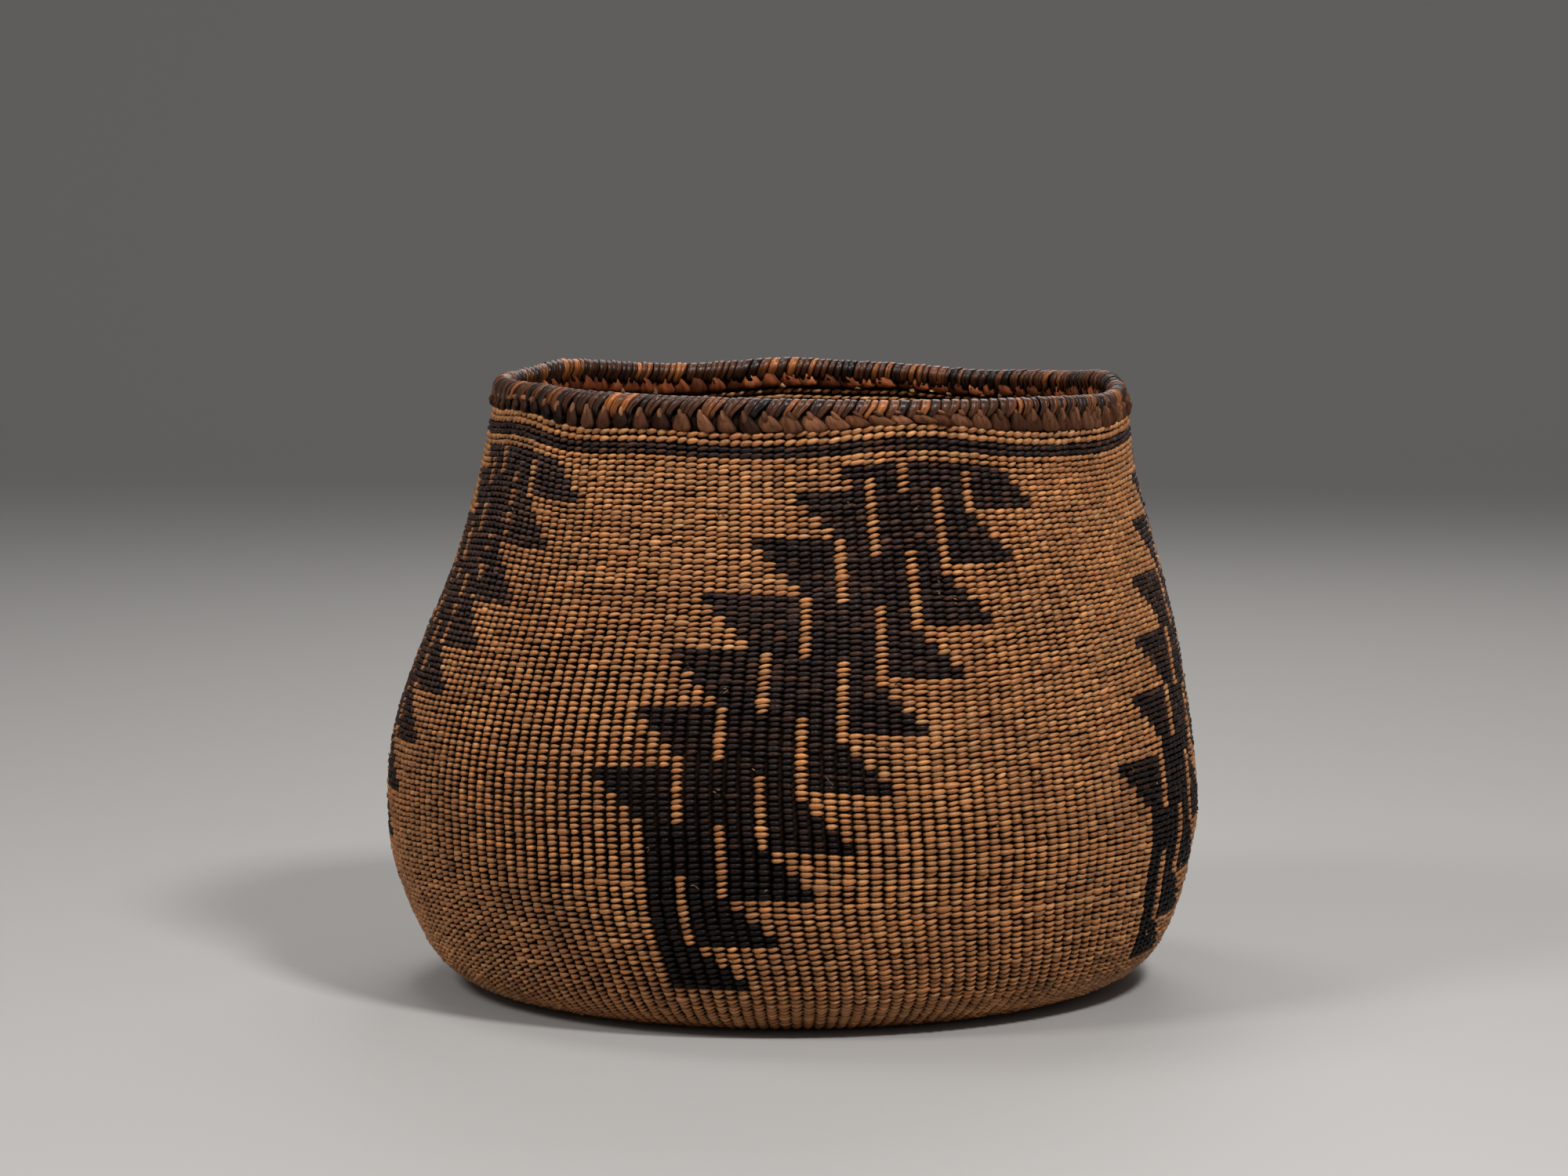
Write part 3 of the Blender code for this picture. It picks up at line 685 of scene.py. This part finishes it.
on_wall_rows = grid[0] < WALL_ROWS
flights = np.where(on_wall_rows, dark_flights(grid[0].astype(int), grid[1].astype(int)), 0)
# On the left flight some single stitches are covered, and on the right one a few dark ones are gone.
covered = np.random.default_rng(9).random(flights.shape) < COVERED_SHARE
covered = covered & (flights < 0) & (np.sin(grid[2]) < COVERED_SIDE)
flights = np.where(covered, len(FLIGHT_NAMES), flights)
missing = (grid[1] == WORN_COLUMN) & (grid[0] >= WORN_ROWS[0]) & (grid[0] < WORN_ROWS[1])

rng = np.random.default_rng(11)
straw_strand = strand_finish("straw_strand", 0.44, 0.35, 0.32, 0.5, 0.22)
base_nodes = {
    "rest_ring": [],
    "base_outer": ["base_weft_outer"],
    "base_inner": ["base_weft_inner"],
    "start": ["start_knot"],
}
for course in courses:
    if course == "band":
        continue
    nodes = base_nodes.get(course, [course + "_weft"])
    mask = courses[course] & (flights <= 0) & ~missing
    tall = COLLAR_SWELL if course == "collar" else 1.0
    plain = course in BASE_ENDS and course != "heel"
    shape = {"tall": tall, "fade": STRAW_LOW_SHADE, "plain": plain}
    finish = straw_strand, "tan_twining", *nodes
    stitches_for("twining_" + course, mask, rng, STRAW_TONES, STRAW_SPREAD, *finish, **shape)


# Dark twining
# The band and the flights are twined as the straw rows are, with a nearly black root laid over them.
# It is worn to rust and purple in places, is painted darker down to the heel as shade, and is palest on the
# left.

DARK_TONES = np.array([[0.032, 0.020, 0.017], [0.140, 0.062, 0.036], [0.074, 0.040, 0.034]])
DARK_SPREAD = 0.5
DARK_SLIM = 0.96
# How much painted shade darkens the dark stitches towards the heel.
DARK_LOW_SHADE = 0.80
LEFT_PALER = 1.6

dark_strand = strand_finish("dark_strand", 0.40, 0.14, 0.55, 1.0, 0.25)
finish = dark_strand, "dark_twining", "dark_band_weft"
stitches_for("twining_dark_band", courses["band"], rng, DARK_TONES, DARK_SPREAD, *finish, tall=DARK_SLIM)
for number, side in enumerate(FLIGHT_NAMES):
    mask = (flights == number + 1) & ~missing
    tones = DARK_TONES * LEFT_PALER if side == "left" else DARK_TONES
    finish = dark_strand, "dark_twining", "motif_" + side
    stitches_for("flight_" + side, mask, rng, tones, DARK_SPREAD, *finish, tall=DARK_SLIM, fade=DARK_LOW_SHADE)


# Splice ends
# Where a root ran out, a new one was laid in beside it and the two ends were trimmed short. They
# stick out as small pale or dark fibres, more often on the dark flights.

SPLICE_COUNT = 150
SPLICE_FIBRES = 2
SPLICE_SPREAD = 0.0006
SPLICE_LENGTH = 0.0012
SPLICE_WIDTH = 0.00020
SPLICE_ROOT = 0.0001
SPLICE_LIFT = 0.00022
SPLICE_RINGS = np.array([0.15, 0.45, 0.75])
SPLICE_SIDES = 3
DARK_SPLICES = 2.5
PALE_FIBRE_SHARES = (0.4, 0.6)
PALE_FIBRE = np.array([0.340, 0.170, 0.080])
DARK_FIBRE = np.array([0.045, 0.024, 0.014])


def splice_points(angle, down, rng):
    """Fibres as thin tapered threads: they follow the row at a slant, bend, and lift off by a square."""
    count = len(angle)
    along, side, _ = strand_places(SPLICE_RINGS, even_turns(SPLICE_SIDES))
    thick = np.sin(math.pi * along) ** 0.5 * SPLICE_WIDTH * rng.uniform(0.7, 1.5, (count, 1))
    length = SPLICE_LENGTH * rng.uniform(0.4, 1.2, (count, 1))
    way = rng.choice([-1.0, 1.0], (count, 1))
    slant = rng.normal(0.25, 0.45, (count, 1))
    bend = rng.normal(0.0, 0.5, (count, 1))
    across = way * length * along * np.cos(slant)
    up = length * along * np.sin(slant + bend * along) + thick * np.cos(side)
    lift = SPLICE_LIFT * rng.uniform(0.2, 1.6, (count, 1)) * along**2
    out = lift - SPLICE_ROOT - thick * way * np.sin(side)
    down = down[:, None]
    turned = angle[:, None] + across / line_at(down, "radius")
    return on_wall(turned, down - up - row_rise(turned, down), out)


rng = np.random.default_rng(23)
weight = np.where(on_wall_rows, np.where(flights > 0, DARK_SPLICES, 1.0), 0.0)
picked = rng.choice(grid.shape[1], SPLICE_COUNT, replace=False, p=weight / weight.sum())
picked = np.repeat(picked, SPLICE_FIBRES)
on_straw, on_dark = PALE_FIBRE_SHARES
is_pale = rng.random((len(picked), 1)) < np.where(flights[picked] > 0, on_dark, on_straw)[:, None]
fibre_tone = np.where(is_pale, PALE_FIBRE, DARK_FIBRE) * rng.uniform(0.4, 1.1, (len(picked), 1))
apart = rng.normal(0.0, SPLICE_SPREAD, (2, len(picked)))
points = splice_points(grid[2][picked] + apart[0] / BELLY_RADIUS, grid[3][picked] + apart[1], rng)
made = strand_piece("splice_ends", points, fibre_tone[:, None, :], len(SPLICE_RINGS), SPLICE_SIDES)
finish_piece(made, straw_strand, "tan_twining")


# Inner faces of the wall
# The same rows seen from inside, where the two strands of each row cross behind the stakes. No dark
# root is laid over them there, so they are plain, and painted a little darker than the straw outside
# as shade, with painted shade in their crevices.

# Painted shade on the inner rows: a little darker all over, and darkest in their crevices.
INNER_SHADE = 0.95
INNER_SPREAD = 0.5
INNER_BEAD = 0.2
INNER_DARKEST_SHADE = 0.15

rng = np.random.default_rng(17)
for name, wanted, node in (
    ("inner_neck", ["collar", "band", "neck"], "neck_lining"),
    ("inner_shoulder", ["shoulder"], "belly_lining"),
    ("inner_belly", ["belly"], "belly_lining"),
    ("inner_heel", ["lower_wall", "heel"], "heel_lining"),
    ("inner_base", ["rest_ring", "base_outer", "base_inner", "start"], "base_lining"),
):
    row, column, angle, down, pitch = grid[:, np.logical_or.reduce([courses[w] for w in wanted])]
    points = stitch_points(angle, down, pitch, rng, INNER_BEAD, BASE_RINGS, BASE_TURNS, face=-1)
    tint = strand_tones(row, column, rng, STRAW_TONES, INNER_SPREAD)[:, None, :] * INNER_SHADE
    tint = tint * painted_strand_shade(BASE_RINGS, BASE_TURNS, INNER_BEAD, INNER_DARKEST_SHADE)
    made = strand_piece(name, points, tint, len(BASE_RINGS), len(BASE_TURNS))
    finish_piece(made, straw_strand, "inner_twining", node)


# Hoop
# A rod is bent into a ring and laid on the warp ends to stiffen the mouth. Its two ends are thinned
# and lie side by side. The lashing hides it but for the slits between the strips, where it shows
# painted almost black as shade.

HOOP_RADIUS = 0.0015
LASHED_RADIUS = 0.0023
HOOP_LAP = math.radians(24)
HOOP_LAP_START = math.radians(118)
HOOP_THINNING = 0.6
HOOP_PUSH = 0.0012
PUSHED_RIM = (-88, 18)
ROD_RINGS = 220
ROD_SIDES = 8
LASH_DRAW = 0.52
LASH_TUCK = 0.30
LOWER_SINE = 0.6
OUTER_COSINE = -0.3
TIGHT_RIM = (28, 26)
TIGHT_DRAW = 0.8
SLACK_RIM = (-56, 24)
SLACK_DRAW = 0.7


def hoop_middle(angle):
    """Radius of the rod's middle: inside the wall's face, but pushed out at the left."""
    return wall_radius(RIM_HEIGHT) - LASHED_RADIUS + HOOP_PUSH * swell_at(angle, *PUSHED_RIM)


def on_hoop(angle, turn, out):
    """Points round the hoop: an angle round the mouth, a turn from outside over the top, a distance.

    The distance is from the middle of the rod, and the turn lies in the plane through the axis. Below
    the middle the outer side is drawn down to the folded ends, by less where the rim is tight and by
    more where it is slack, and stays further out than the circle.
    """
    low = smooth_steps(-np.sin(turn), 0.0, LOWER_SINE) * (np.cos(turn) > OUTER_COSINE)
    drawn = 1 - TIGHT_DRAW * swell_at(angle, *TIGHT_RIM) + SLACK_DRAW * swell_at(angle, *SLACK_RIM)
    drawn = 1 + low * LASH_DRAW * drawn
    radius = hoop_middle(angle) + out * np.cos(turn * (1 - LASH_TUCK * low))
    height = RIM_HEIGHT - LASHED_RADIUS + out * np.sin(turn) * drawn
    return hand_made(angle, radius, height)


def rod_points(rings, sides):
    """The rod as one strand: a circle carried round the mouth and a little past its start.

    Over the lap the section thins and moves sideways in even steps, so the two ends lie together.
    """
    share = (np.arange(rings) / (rings - 1))[:, None]
    angle = HOOP_LAP_START + share * (math.tau + HOOP_LAP)
    turn = even_turns(sides)[None, :]
    lap = HOOP_LAP / (math.tau + HOOP_LAP)
    start = 1 - smooth_steps(share, 0.0, lap)
    end = smooth_steps(share, 1.0 - lap, 1.0)
    size = HOOP_RADIUS * (1 - HOOP_THINNING * (start + end))
    side = 0.5 * HOOP_RADIUS * (start - end)
    radius = hoop_middle(angle) + side + size * np.cos(turn)
    height = RIM_HEIGHT - LASHED_RADIUS + size * np.sin(turn)
    tips = hand_made(angle[[0, -1], 0], radius[[0, -1]].mean(1), height[[0, -1]].mean(1))
    return np.concatenate([hand_made(angle, radius, height).reshape(-1, 3), tips])[None]


# The rod is painted almost black, as the shade in the slits between the strips.
rod = strand_piece("hoop_rod", rod_points(ROD_RINGS, ROD_SIDES), WARP_PAINTED_SHADE, ROD_RINGS, ROD_SIDES)
finish_piece(rod, peeled_shoot, "peeled_rod", "rim_hoop")


# Lashing
# Split strips of brown bark are wound over the hoop and down between the stakes, two or three side
# by side to every second stake. They lean up to the right, and below they draw together to the left.

LASH_UNITS = WARP_COUNT // 2
LASH_RUNS = 4
STRIP_FILL = 1.16
LASH_RINGS = 11
LASH_SIDES = 6
LASH_FROM = math.radians(-88)
LASH_TO = math.radians(258)
LASH_FOOT = (math.radians(-80), math.radians(35))
LASH_GAP = 0.00052
LASH_THICKNESS = 0.00025
LASH_TAPER = 0.25
LASH_LEAN = 0.0016
LEAN_SHARE = 1.15
RIGHT_LEAN_LOSS = 0.75
RIGHT_SINES = (-0.1, 0.4)
LASH_BOW = 0.8
LASH_GATHER = 0.36
LASH_SHIFT = 0.06
LASH_CROWN = 0.00034
LASH_CURL = 0.00014
LASH_ENDS_DIP = 0.00045
LASH_TILT = 0.000077
LASH_SPREADS = {"gather": 0.05, "lean": 0.00028, "along": 0.00007, "layer": 0.00006}
BARK_TONES = np.array([[0.110, 0.034, 0.011], [0.460, 0.140, 0.030], [0.014, 0.008, 0.006]])
UNIT_TONE = 0.60
STRIP_TONE = 0.80
TONE_LIMIT = 1.6
STRIP_BRIGHTNESS = 0.16
# Painted light and shade on the strips: a lit middle, and shaded edges, foot and inner end.
MOUTH_SHADE = 0.75
MOUTH_SHADE_FROM = (0.70, 0.90)
FOOT_SHADE = 0.45
FOOT_SHADE_TO = (0.0, 0.15)
LIT_MIDDLE = 1.35
EDGE_SHADE = 1.20
STRIP_TIP_TONE = 0.1


def lash_points(unit, place, width, rng):
    """Strips as flat ovals carried over the hoop, from below its outer side to its inner side.

    place is the strip's middle across its unit, from 0 to 1. The path slides along the hoop as it
    climbs, and near the outer foot both the places and the widths shrink towards the unit's left. A
    unit is crowned across, its strips curl down at their edges and each lies over its neighbour.
    """
    vary = own_spreads(rng, len(unit), LASH_SPREADS)
    ring, side, tip = strand_places(np.linspace(0.0, 1.0, LASH_RINGS), even_turns(LASH_SIDES))
    turn = LASH_FROM + (LASH_TO - LASH_FROM) * ring
    middle = wall_radius(RIM_HEIGHT) - LASHED_RADIUS
    unit_width = math.tau * middle / LASH_UNITS
    foot = 1 - smooth_steps(turn, *LASH_FOOT)
    gather = 1 - (LASH_GATHER + vary("gather")) * foot
    unit, place, width = unit[:, None], place[:, None], width[:, None]
    right = smooth_steps(np.sin(unit * unit_width / middle), *RIGHT_SINES)
    lean = LASH_LEAN * (LEAN_SHARE - RIGHT_LEAN_LOSS * right) + vary("lean")
    climb = lean * (np.sin((turn - math.pi / 2) / 2) - LASH_BOW * foot * (1 - foot))
    half = width * gather / 2 * (1 - LASH_TAPER * np.abs(2 * ring - 1) ** 6)
    across = np.where(tip, 0.0, half * np.cos(side))
    thick = np.where(tip, 0.0, LASH_THICKNESS * np.sin(side))
    along = (place * gather + LASH_SHIFT) * unit_width + climb + across + vary("along")
    crown = LASH_CROWN * (1 - (2 * place - 1) ** 2)
    curl = LASH_CURL * np.where(tip, 0.0, np.cos(side) ** 2)
    ends = LASH_ENDS_DIP * np.abs(2 * ring - 1) ** 10
    layer = vary("layer") - LASH_TILT * np.cos(side)
    out = HOOP_RADIUS + LASH_GAP + crown + layer + thick - curl - ends
    return on_hoop((unit * unit_width + along) / middle, turn, out)


rng = np.random.default_rng(29)
strips = rng.choice([2, 3], LASH_UNITS, p=[0.45, 0.55])
unit = np.repeat(np.arange(LASH_UNITS), strips)
within = np.arange(len(unit)) - np.repeat(np.cumsum(strips) - strips, strips)
spacing = math.tau * (wall_radius(RIM_HEIGHT) - LASHED_RADIUS) / LASH_UNITS
strip_width = STRIP_FILL * spacing / strips[unit]
lashing = lash_points(unit, (within + 0.5) / strips[unit], strip_width, rng)
unit_tone = rng.normal(0.0, 1.0, LASH_UNITS)[unit]
tone = UNIT_TONE * unit_tone + STRIP_TONE * rng.normal(0.0, 1.0, len(unit))
tone = np.clip(tone, -TONE_LIMIT, TONE_LIMIT)[:, None] / TONE_LIMIT
bark = mixed(BARK_TONES, np.where(tone > 0, tone**2, tone))
bark = bark * np.exp(rng.normal(0.0, STRIP_BRIGHTNESS, (len(unit), 1)))
# A strip is painted lighter along its middle, as lit, and darker as shade at its edges, its foot,
# inside the mouth and at its two tips.
edge = np.abs(np.cos(even_turns(LASH_SIDES)))
share = np.repeat(np.linspace(0.0, 1.0, LASH_RINGS), LASH_SIDES)
foot_light = 1 - smooth_steps(share, *FOOT_SHADE_TO)
light = 1 - MOUTH_SHADE * smooth_steps(share, *MOUTH_SHADE_FROM) - FOOT_SHADE * foot_light
painted_strip_light = np.tile(LIT_MIDDLE - EDGE_SHADE * edge**2, LASH_RINGS) * light
painted_strip_light = np.append(painted_strip_light, [STRIP_TIP_TONE] * 2)[None, :, None]
lash_strip = strand_finish("lash_strip", 0.32, 0.34, 0.95, 1.6, 0.40)
for part in range(LASH_RUNS):
    run = unit * LASH_RUNS // LASH_UNITS == part
    name = "lashing_" + str(part + 1)
    made = strand_piece(name, lashing[run], bark[run][:, None, :] * painted_strip_light, LASH_RINGS, LASH_SIDES)
    finish_piece(made, lash_strip, "bark_strip", "rim_" + name)


# Tucked warp ends
# Below the hoop each pair of stakes is folded over and pushed back in, which leaves a row of
# overlapping leaf shapes outside and inside. A thin tie comes down over the top of each outer leaf,
# some cut ends show at the feet of the inner ones, and the ends run on in the wall to the right,
# painted nearly black as the shade behind the leaves.

LEAF_RINGS = np.array([0.07, 0.24, 0.42, 0.60, 0.77, 0.90, 0.97])
LEAF_SIDES = 10
LEAF_PLACE = 0.80
LEAF_TOP = RIM_HEIGHT - 2 * LASHED_RADIUS + 0.0010
LEAF_TIGHT_RISE = 0.0006
LEAF_FOOT = COLLAR_TOP + 0.0002
LEAF_WIDTH = 0.0056
LEAF_SKEW = 0.0021
LEAF_PROUD = 0.0012
INNER_TOP = LEAF_TOP + 0.0009
INNER_FOOT = COLLAR_TOP + 0.0010
INNER_WIDTH = 0.0070
INNER_PROUD = 0.0016
LEAF_NECKS = {1: 0.16, -1: 0.40}
LEAF_SUNK = {1: 0.0007, -1: 0.0001}
LEAF_FOOT_SHARE = 1.04
LEAF_BACK_SHARE = 0.35
LEAF_TILT = 0.22
LEAF_WRINKLE = 0.00017
LYING_LEAVES = (2, 22)
LYING_WIDENS = 0.32
INNER_LIE = 0.5
LEAF_SPREADS = {
    "width": 0.10, "wrinkle": 2.0, "bulge": 0.12, "out": 0.00010,
    "foot": 0.00012, "skew": 0.25, "shift": 0.00015,
}
TIE_RINGS = np.array([0.10, 0.32, 0.55, 0.78, 0.93])
TIE_SIDES = 8
TIE_TOP = LEAF_TOP + 0.0010
TIE_LENGTH = 0.0026
TIE_SHIFT = -0.0006
CUT_SHARE = 0.40
CUT_SHIFT = 0.012
RUN_RINGS = np.array([0.06, 0.22, 0.40, 0.60, 0.78, 0.94])
RUN_SIDES = 6
RUN_REACH = 3.6
RUN_FOOT = COLLAR_TOP - 0.0006
RUN_CLIMB = LEAF_TOP + 0.0018 - COLLAR_TOP
RUN_HALF_HEIGHT = 0.0012
RUN_HALF_DEPTH = 0.0006
RUN_DEPTH = 0.0024
RUN_SHADE = 0.15
FOLD_TONES = np.array([[0.150, 0.051, 0.021], [0.300, 0.120, 0.056], [0.045, 0.015, 0.007]])
SLACK_PAINTED_SHADE = 0.7
DARK_LEAVES = (50, 25)
DARK_TONE_LOSS = 0.4
# The inner leaves are painted brighter, as if lit through the mouth.
INNER_FOLD_LIGHT = np.array([2.2, 1.7, 1.4])
# Tie colour: paler than the leaves, painted as the highlight along each leaf's top.
TIE_HIGHLIGHT = np.array([0.230, 0.092, 0.043])
CUT_END = np.array([0.420, 0.230, 0.110])


def leaf_points(angle, rings, sides, top, foot, width, skew, proud, face, rng):
    """Folded ends, ties or cut ends as flat drops that widen by a root from a neck to a blunt foot.

    The section is half an ellipse in front, creased by a sine, and a thinner one behind, turned so
    that the right edge of one drop lies over its neighbour. face is 1 outside the wall and -1 inside,
    where the tops are wider and rounded. Near the front the outer ones lie over further and are wider.
    """
    vary = own_spreads(rng, len(angle), LEAF_SPREADS)
    along, side, tip = strand_places(rings, math.tau * (1 - np.arange(sides) / sides))
    neck = LEAF_NECKS[face]
    spread = (neck + (LEAF_FOOT_SHARE - neck) * along**0.5) * (1 - along**10) ** 0.5
    spread = spread if face > 0 else spread * (1 - (1 - along) ** 4) ** 0.5
    lie = swell_at(angle[:, None], *LYING_LEAVES) if face > 0 else INNER_LIE
    wide = width * (1 + LYING_WIDENS * lie)
    half = np.where(tip, 0.0, wide / 2 * spread * (1 + vary("width")))
    across = half * np.cos(side)
    bulge = np.sin(math.pi * (0.12 + 0.70 * along))
    in_front = np.sin(side) > 0
    deep = np.where(in_front, proud, LEAF_BACK_SHARE * proud)
    wrinkle = LEAF_WRINKLE * np.sin(6.0 * np.cos(side) + 8.0 * along + vary("wrinkle")) * in_front
    out = deep * bulge * np.sin(side) * (1 + vary("bulge")) + wrinkle
    out = np.where(tip, 0.0, out) + LEAF_TILT * across - LEAF_SUNK[face] + vary("out")
    top = top + LEAF_TIGHT_RISE * swell_at(angle[:, None], *TIGHT_RIM)
    height = top + (foot - top) * along + vary("foot") * along
    shift = skew * (0.35 + 0.85 * lie) * along * (1 + vary("skew")) + vary("shift")
    angle = angle[:, None] + face * (shift + across) / wall_radius(COLLAR_TOP)
    down = RIM_HEIGHT - height - row_rise(angle, down_to_height(COLLAR_TOP)) * along
    if face < 0:
        out = -WALL_THICKNESS - out
    return on_wall(angle, down, out)


def from_edges(points, sides):
    """How far each vertex of a drop is from its edges: 0 there, and a sine up to 1 in the middle."""
    return np.abs(np.sin(np.arange(points.shape[1]) % sides * math.tau / sides))[None, :, None]


def leaf_tones(points, sides, rng):
    """Matte browns of folded bark, with painted shade darkening each edge where one end dips under the next.
    """
    tone = np.clip(rng.normal(0.0, 0.6, (len(points), 1, 1)), -1.0, 1.0)
    return mixed(FOLD_TONES, tone) * (0.05 + 0.95 * from_edges(points, sides) ** 0.5)


def run_points(angle, rng):
    """The ends behind the leaves: ovals that climb evenly in the wall over a few units to the right."""
    along, side, tip = strand_places(RUN_RINGS, even_turns(RUN_SIDES))
    size = np.where(tip, 0.0, 1.0)
    size = size * (1 - np.abs(2 * along - 1) ** 4 * 0.5) * (1 + rng.normal(0.0, 0.08, (len(angle), 1)))
    angle = angle[:, None] + along * RUN_REACH * math.tau / LASH_UNITS
    height = RUN_FOOT + RUN_CLIMB * along - RUN_HALF_HEIGHT * size * np.cos(side)
    return on_wall(angle, RIM_HEIGHT - height, RUN_HALF_DEPTH * size * np.sin(side) - RUN_DEPTH)


rng = np.random.default_rng(31)
fold_finish = strand_finish("folded_bark", 0.58, 0.08, 0.65, 1.6, 0.35)
leaf_angle = math.tau * (np.arange(LASH_UNITS) + LEAF_PLACE) / LASH_UNITS
# Painted shade: the leaves at the slack left of the rim are darker, as in shadow; those near 50 degrees are
# darker too.
slack = 1 - SLACK_PAINTED_SHADE * swell_at(leaf_angle, *SLACK_RIM)
slack = (slack - DARK_TONE_LOSS * swell_at(leaf_angle, *DARK_LEAVES))[:, None, None]
for name, face, top, foot, width, proud, tone in (
    ("folded_ends_outside", 1, LEAF_TOP, LEAF_FOOT, LEAF_WIDTH, LEAF_PROUD, slack),
    ("folded_ends_inside", -1, INNER_TOP, INNER_FOOT, INNER_WIDTH, INNER_PROUD, INNER_FOLD_LIGHT),
):
    shape = top, foot, width, LEAF_SKEW, proud
    points = leaf_points(leaf_angle, LEAF_RINGS, LEAF_SIDES, *shape, face, rng)
    tint = leaf_tones(points, LEAF_SIDES, rng) * tone
    made = strand_piece(name, points, tint, len(LEAF_RINGS), LEAF_SIDES)
    finish_piece(made, fold_finish, "bark_strip", "tucked_ends")

# A shape is a drop's top, foot, width, skew and how far it stands proud.
cut_angle = leaf_angle[rng.random(LASH_UNITS) < CUT_SHARE] + CUT_SHIFT
tie_shape = (TIE_TOP, TIE_TOP - TIE_LENGTH, 0.0018, 0.0012, 0.0015)
cut_shape = (INNER_FOOT + 0.0010, INNER_FOOT - 0.0005, 0.0020, 0.0006, 0.0012)
for name, angle, shape, face, tone in (
    ("lashing_ties", leaf_angle + TIE_SHIFT, tie_shape, 1, TIE_HIGHLIGHT),
    ("cut_ends", cut_angle, cut_shape, -1, CUT_END),
):
    points = leaf_points(angle, TIE_RINGS, TIE_SIDES, *shape, face, rng)
    tint = tone * np.exp(rng.normal(0.0, 0.3, (len(angle), 1, 1)))
    # Painted shade darkens each tie and cut end round its edges.
    tint = tint * (0.35 + 0.65 * from_edges(points, TIE_SIDES))
    made = strand_piece(name, points, tint, len(TIE_RINGS), TIE_SIDES)
    finish_piece(made, fold_finish, "bark_strip")
# The runs are painted nearly black, as the shade behind the leaves.
run_tones = np.exp(rng.normal(0.0, 0.25, (LASH_UNITS, 1, 1))) * FOLD_TONES[2] * RUN_SHADE
made = strand_piece("tucked_runs", run_points(leaf_angle, rng), run_tones, len(RUN_RINGS), RUN_SIDES)
finish_piece(made, fold_finish, "bark_strip")


# Studio
# A pale paper sweep, four soft lamps with the strongest at the front right, an even gray sky, and a
# long lens that looks slightly down from where the photograph was taken.

FLOOR_HALF_WIDTH = 6.0
FLOOR_FRONT = -4.0
SWEEP_START = 1.5
SWEEP_RADIUS = 1.5
SWEEP_HEIGHT = 5.0
SWEEP_POINTS = 24
# A lamp is its name, its place, the height that it points at, its size and its watts.
LAMPS = (
    ("key", (0.40, -0.62, 0.90), 0.07, 0.16, 9.0),
    ("fill", (-0.60, -0.45, 0.75), 0.07, 0.25, 3.6),
    ("overhead", (-0.25, 0.20, 1.0), 0.08, 0.25, 2.0),
    ("back", (0.15, 0.85, 0.75), 0.08, 0.60, 3.0),
)
CAMERA_DIP = 0.1019

# The paper's side is a flat floor, a quarter circle behind it and a straight rise.
turn = np.linspace(0.0, math.pi / 2, SWEEP_POINTS)
end = SWEEP_START + SWEEP_RADIUS
back = np.concatenate([[FLOOR_FRONT], SWEEP_START + SWEEP_RADIUS * np.sin(turn), [end]])
up = np.concatenate([[0.0], SWEEP_RADIUS * (1 - np.cos(turn)), [SWEEP_HEIGHT]])
count = len(back)
left = np.stack([np.full(count, -FLOOR_HALF_WIDTH), back, up], 1)
right = left * [-1, 1, 1]
first = np.arange(count - 1)
floor_mesh = bpy.data.meshes.new("floor")
panels = np.stack([first, first + count, first + count + 1, first + 1], 1)
floor_mesh.from_pydata(np.concatenate([left, right]).tolist(), [], panels.tolist())
floor_mesh.shade_smooth()
floor = put_in_scene("floor", floor_mesh)
pale_floor = bpy.data.materials.new("pale_floor")
pale_floor.use_nodes = True
paper = pale_floor.node_tree.nodes["Principled BSDF"].inputs
paper["Base Color"].default_value = (0.41, 0.395, 0.38, 1.0)
paper["Roughness"].default_value = 0.6
floor_mesh.materials.append(pale_floor)

world = bpy.data.worlds.new("studio")
bpy.context.scene.world = world
world.use_nodes = True
sky = world.node_tree.nodes["Background"].inputs
sky["Color"].default_value = (0.8, 0.8, 0.8, 1.0)
sky["Strength"].default_value = 0.28

for name, place, aim, size, watts in LAMPS:
    lamp = bpy.data.lights.new(name, "AREA")
    lamp.size = size
    lamp.energy = watts
    made = put_in_scene(name, lamp)
    made.location = place
    x, y, z = np.array([0.0, 0.0, aim]) - np.array(place)
    made.rotation_euler = (math.atan2(math.hypot(x, y), -z), 0.0, math.atan2(x, -y) + math.pi)

camera_data = bpy.data.cameras.new("camera")
camera_data.lens = 126.0
camera_data.sensor_width = 36.0
camera = put_in_scene("camera", camera_data)
camera.location = (-0.0022, -1.354, 0.2358)
camera.rotation_euler = (math.pi / 2 - CAMERA_DIP, 0.0, 0.0)
bpy.context.scene.camera = camera
bpy.context.scene.view_settings.view_transform = "Standard"
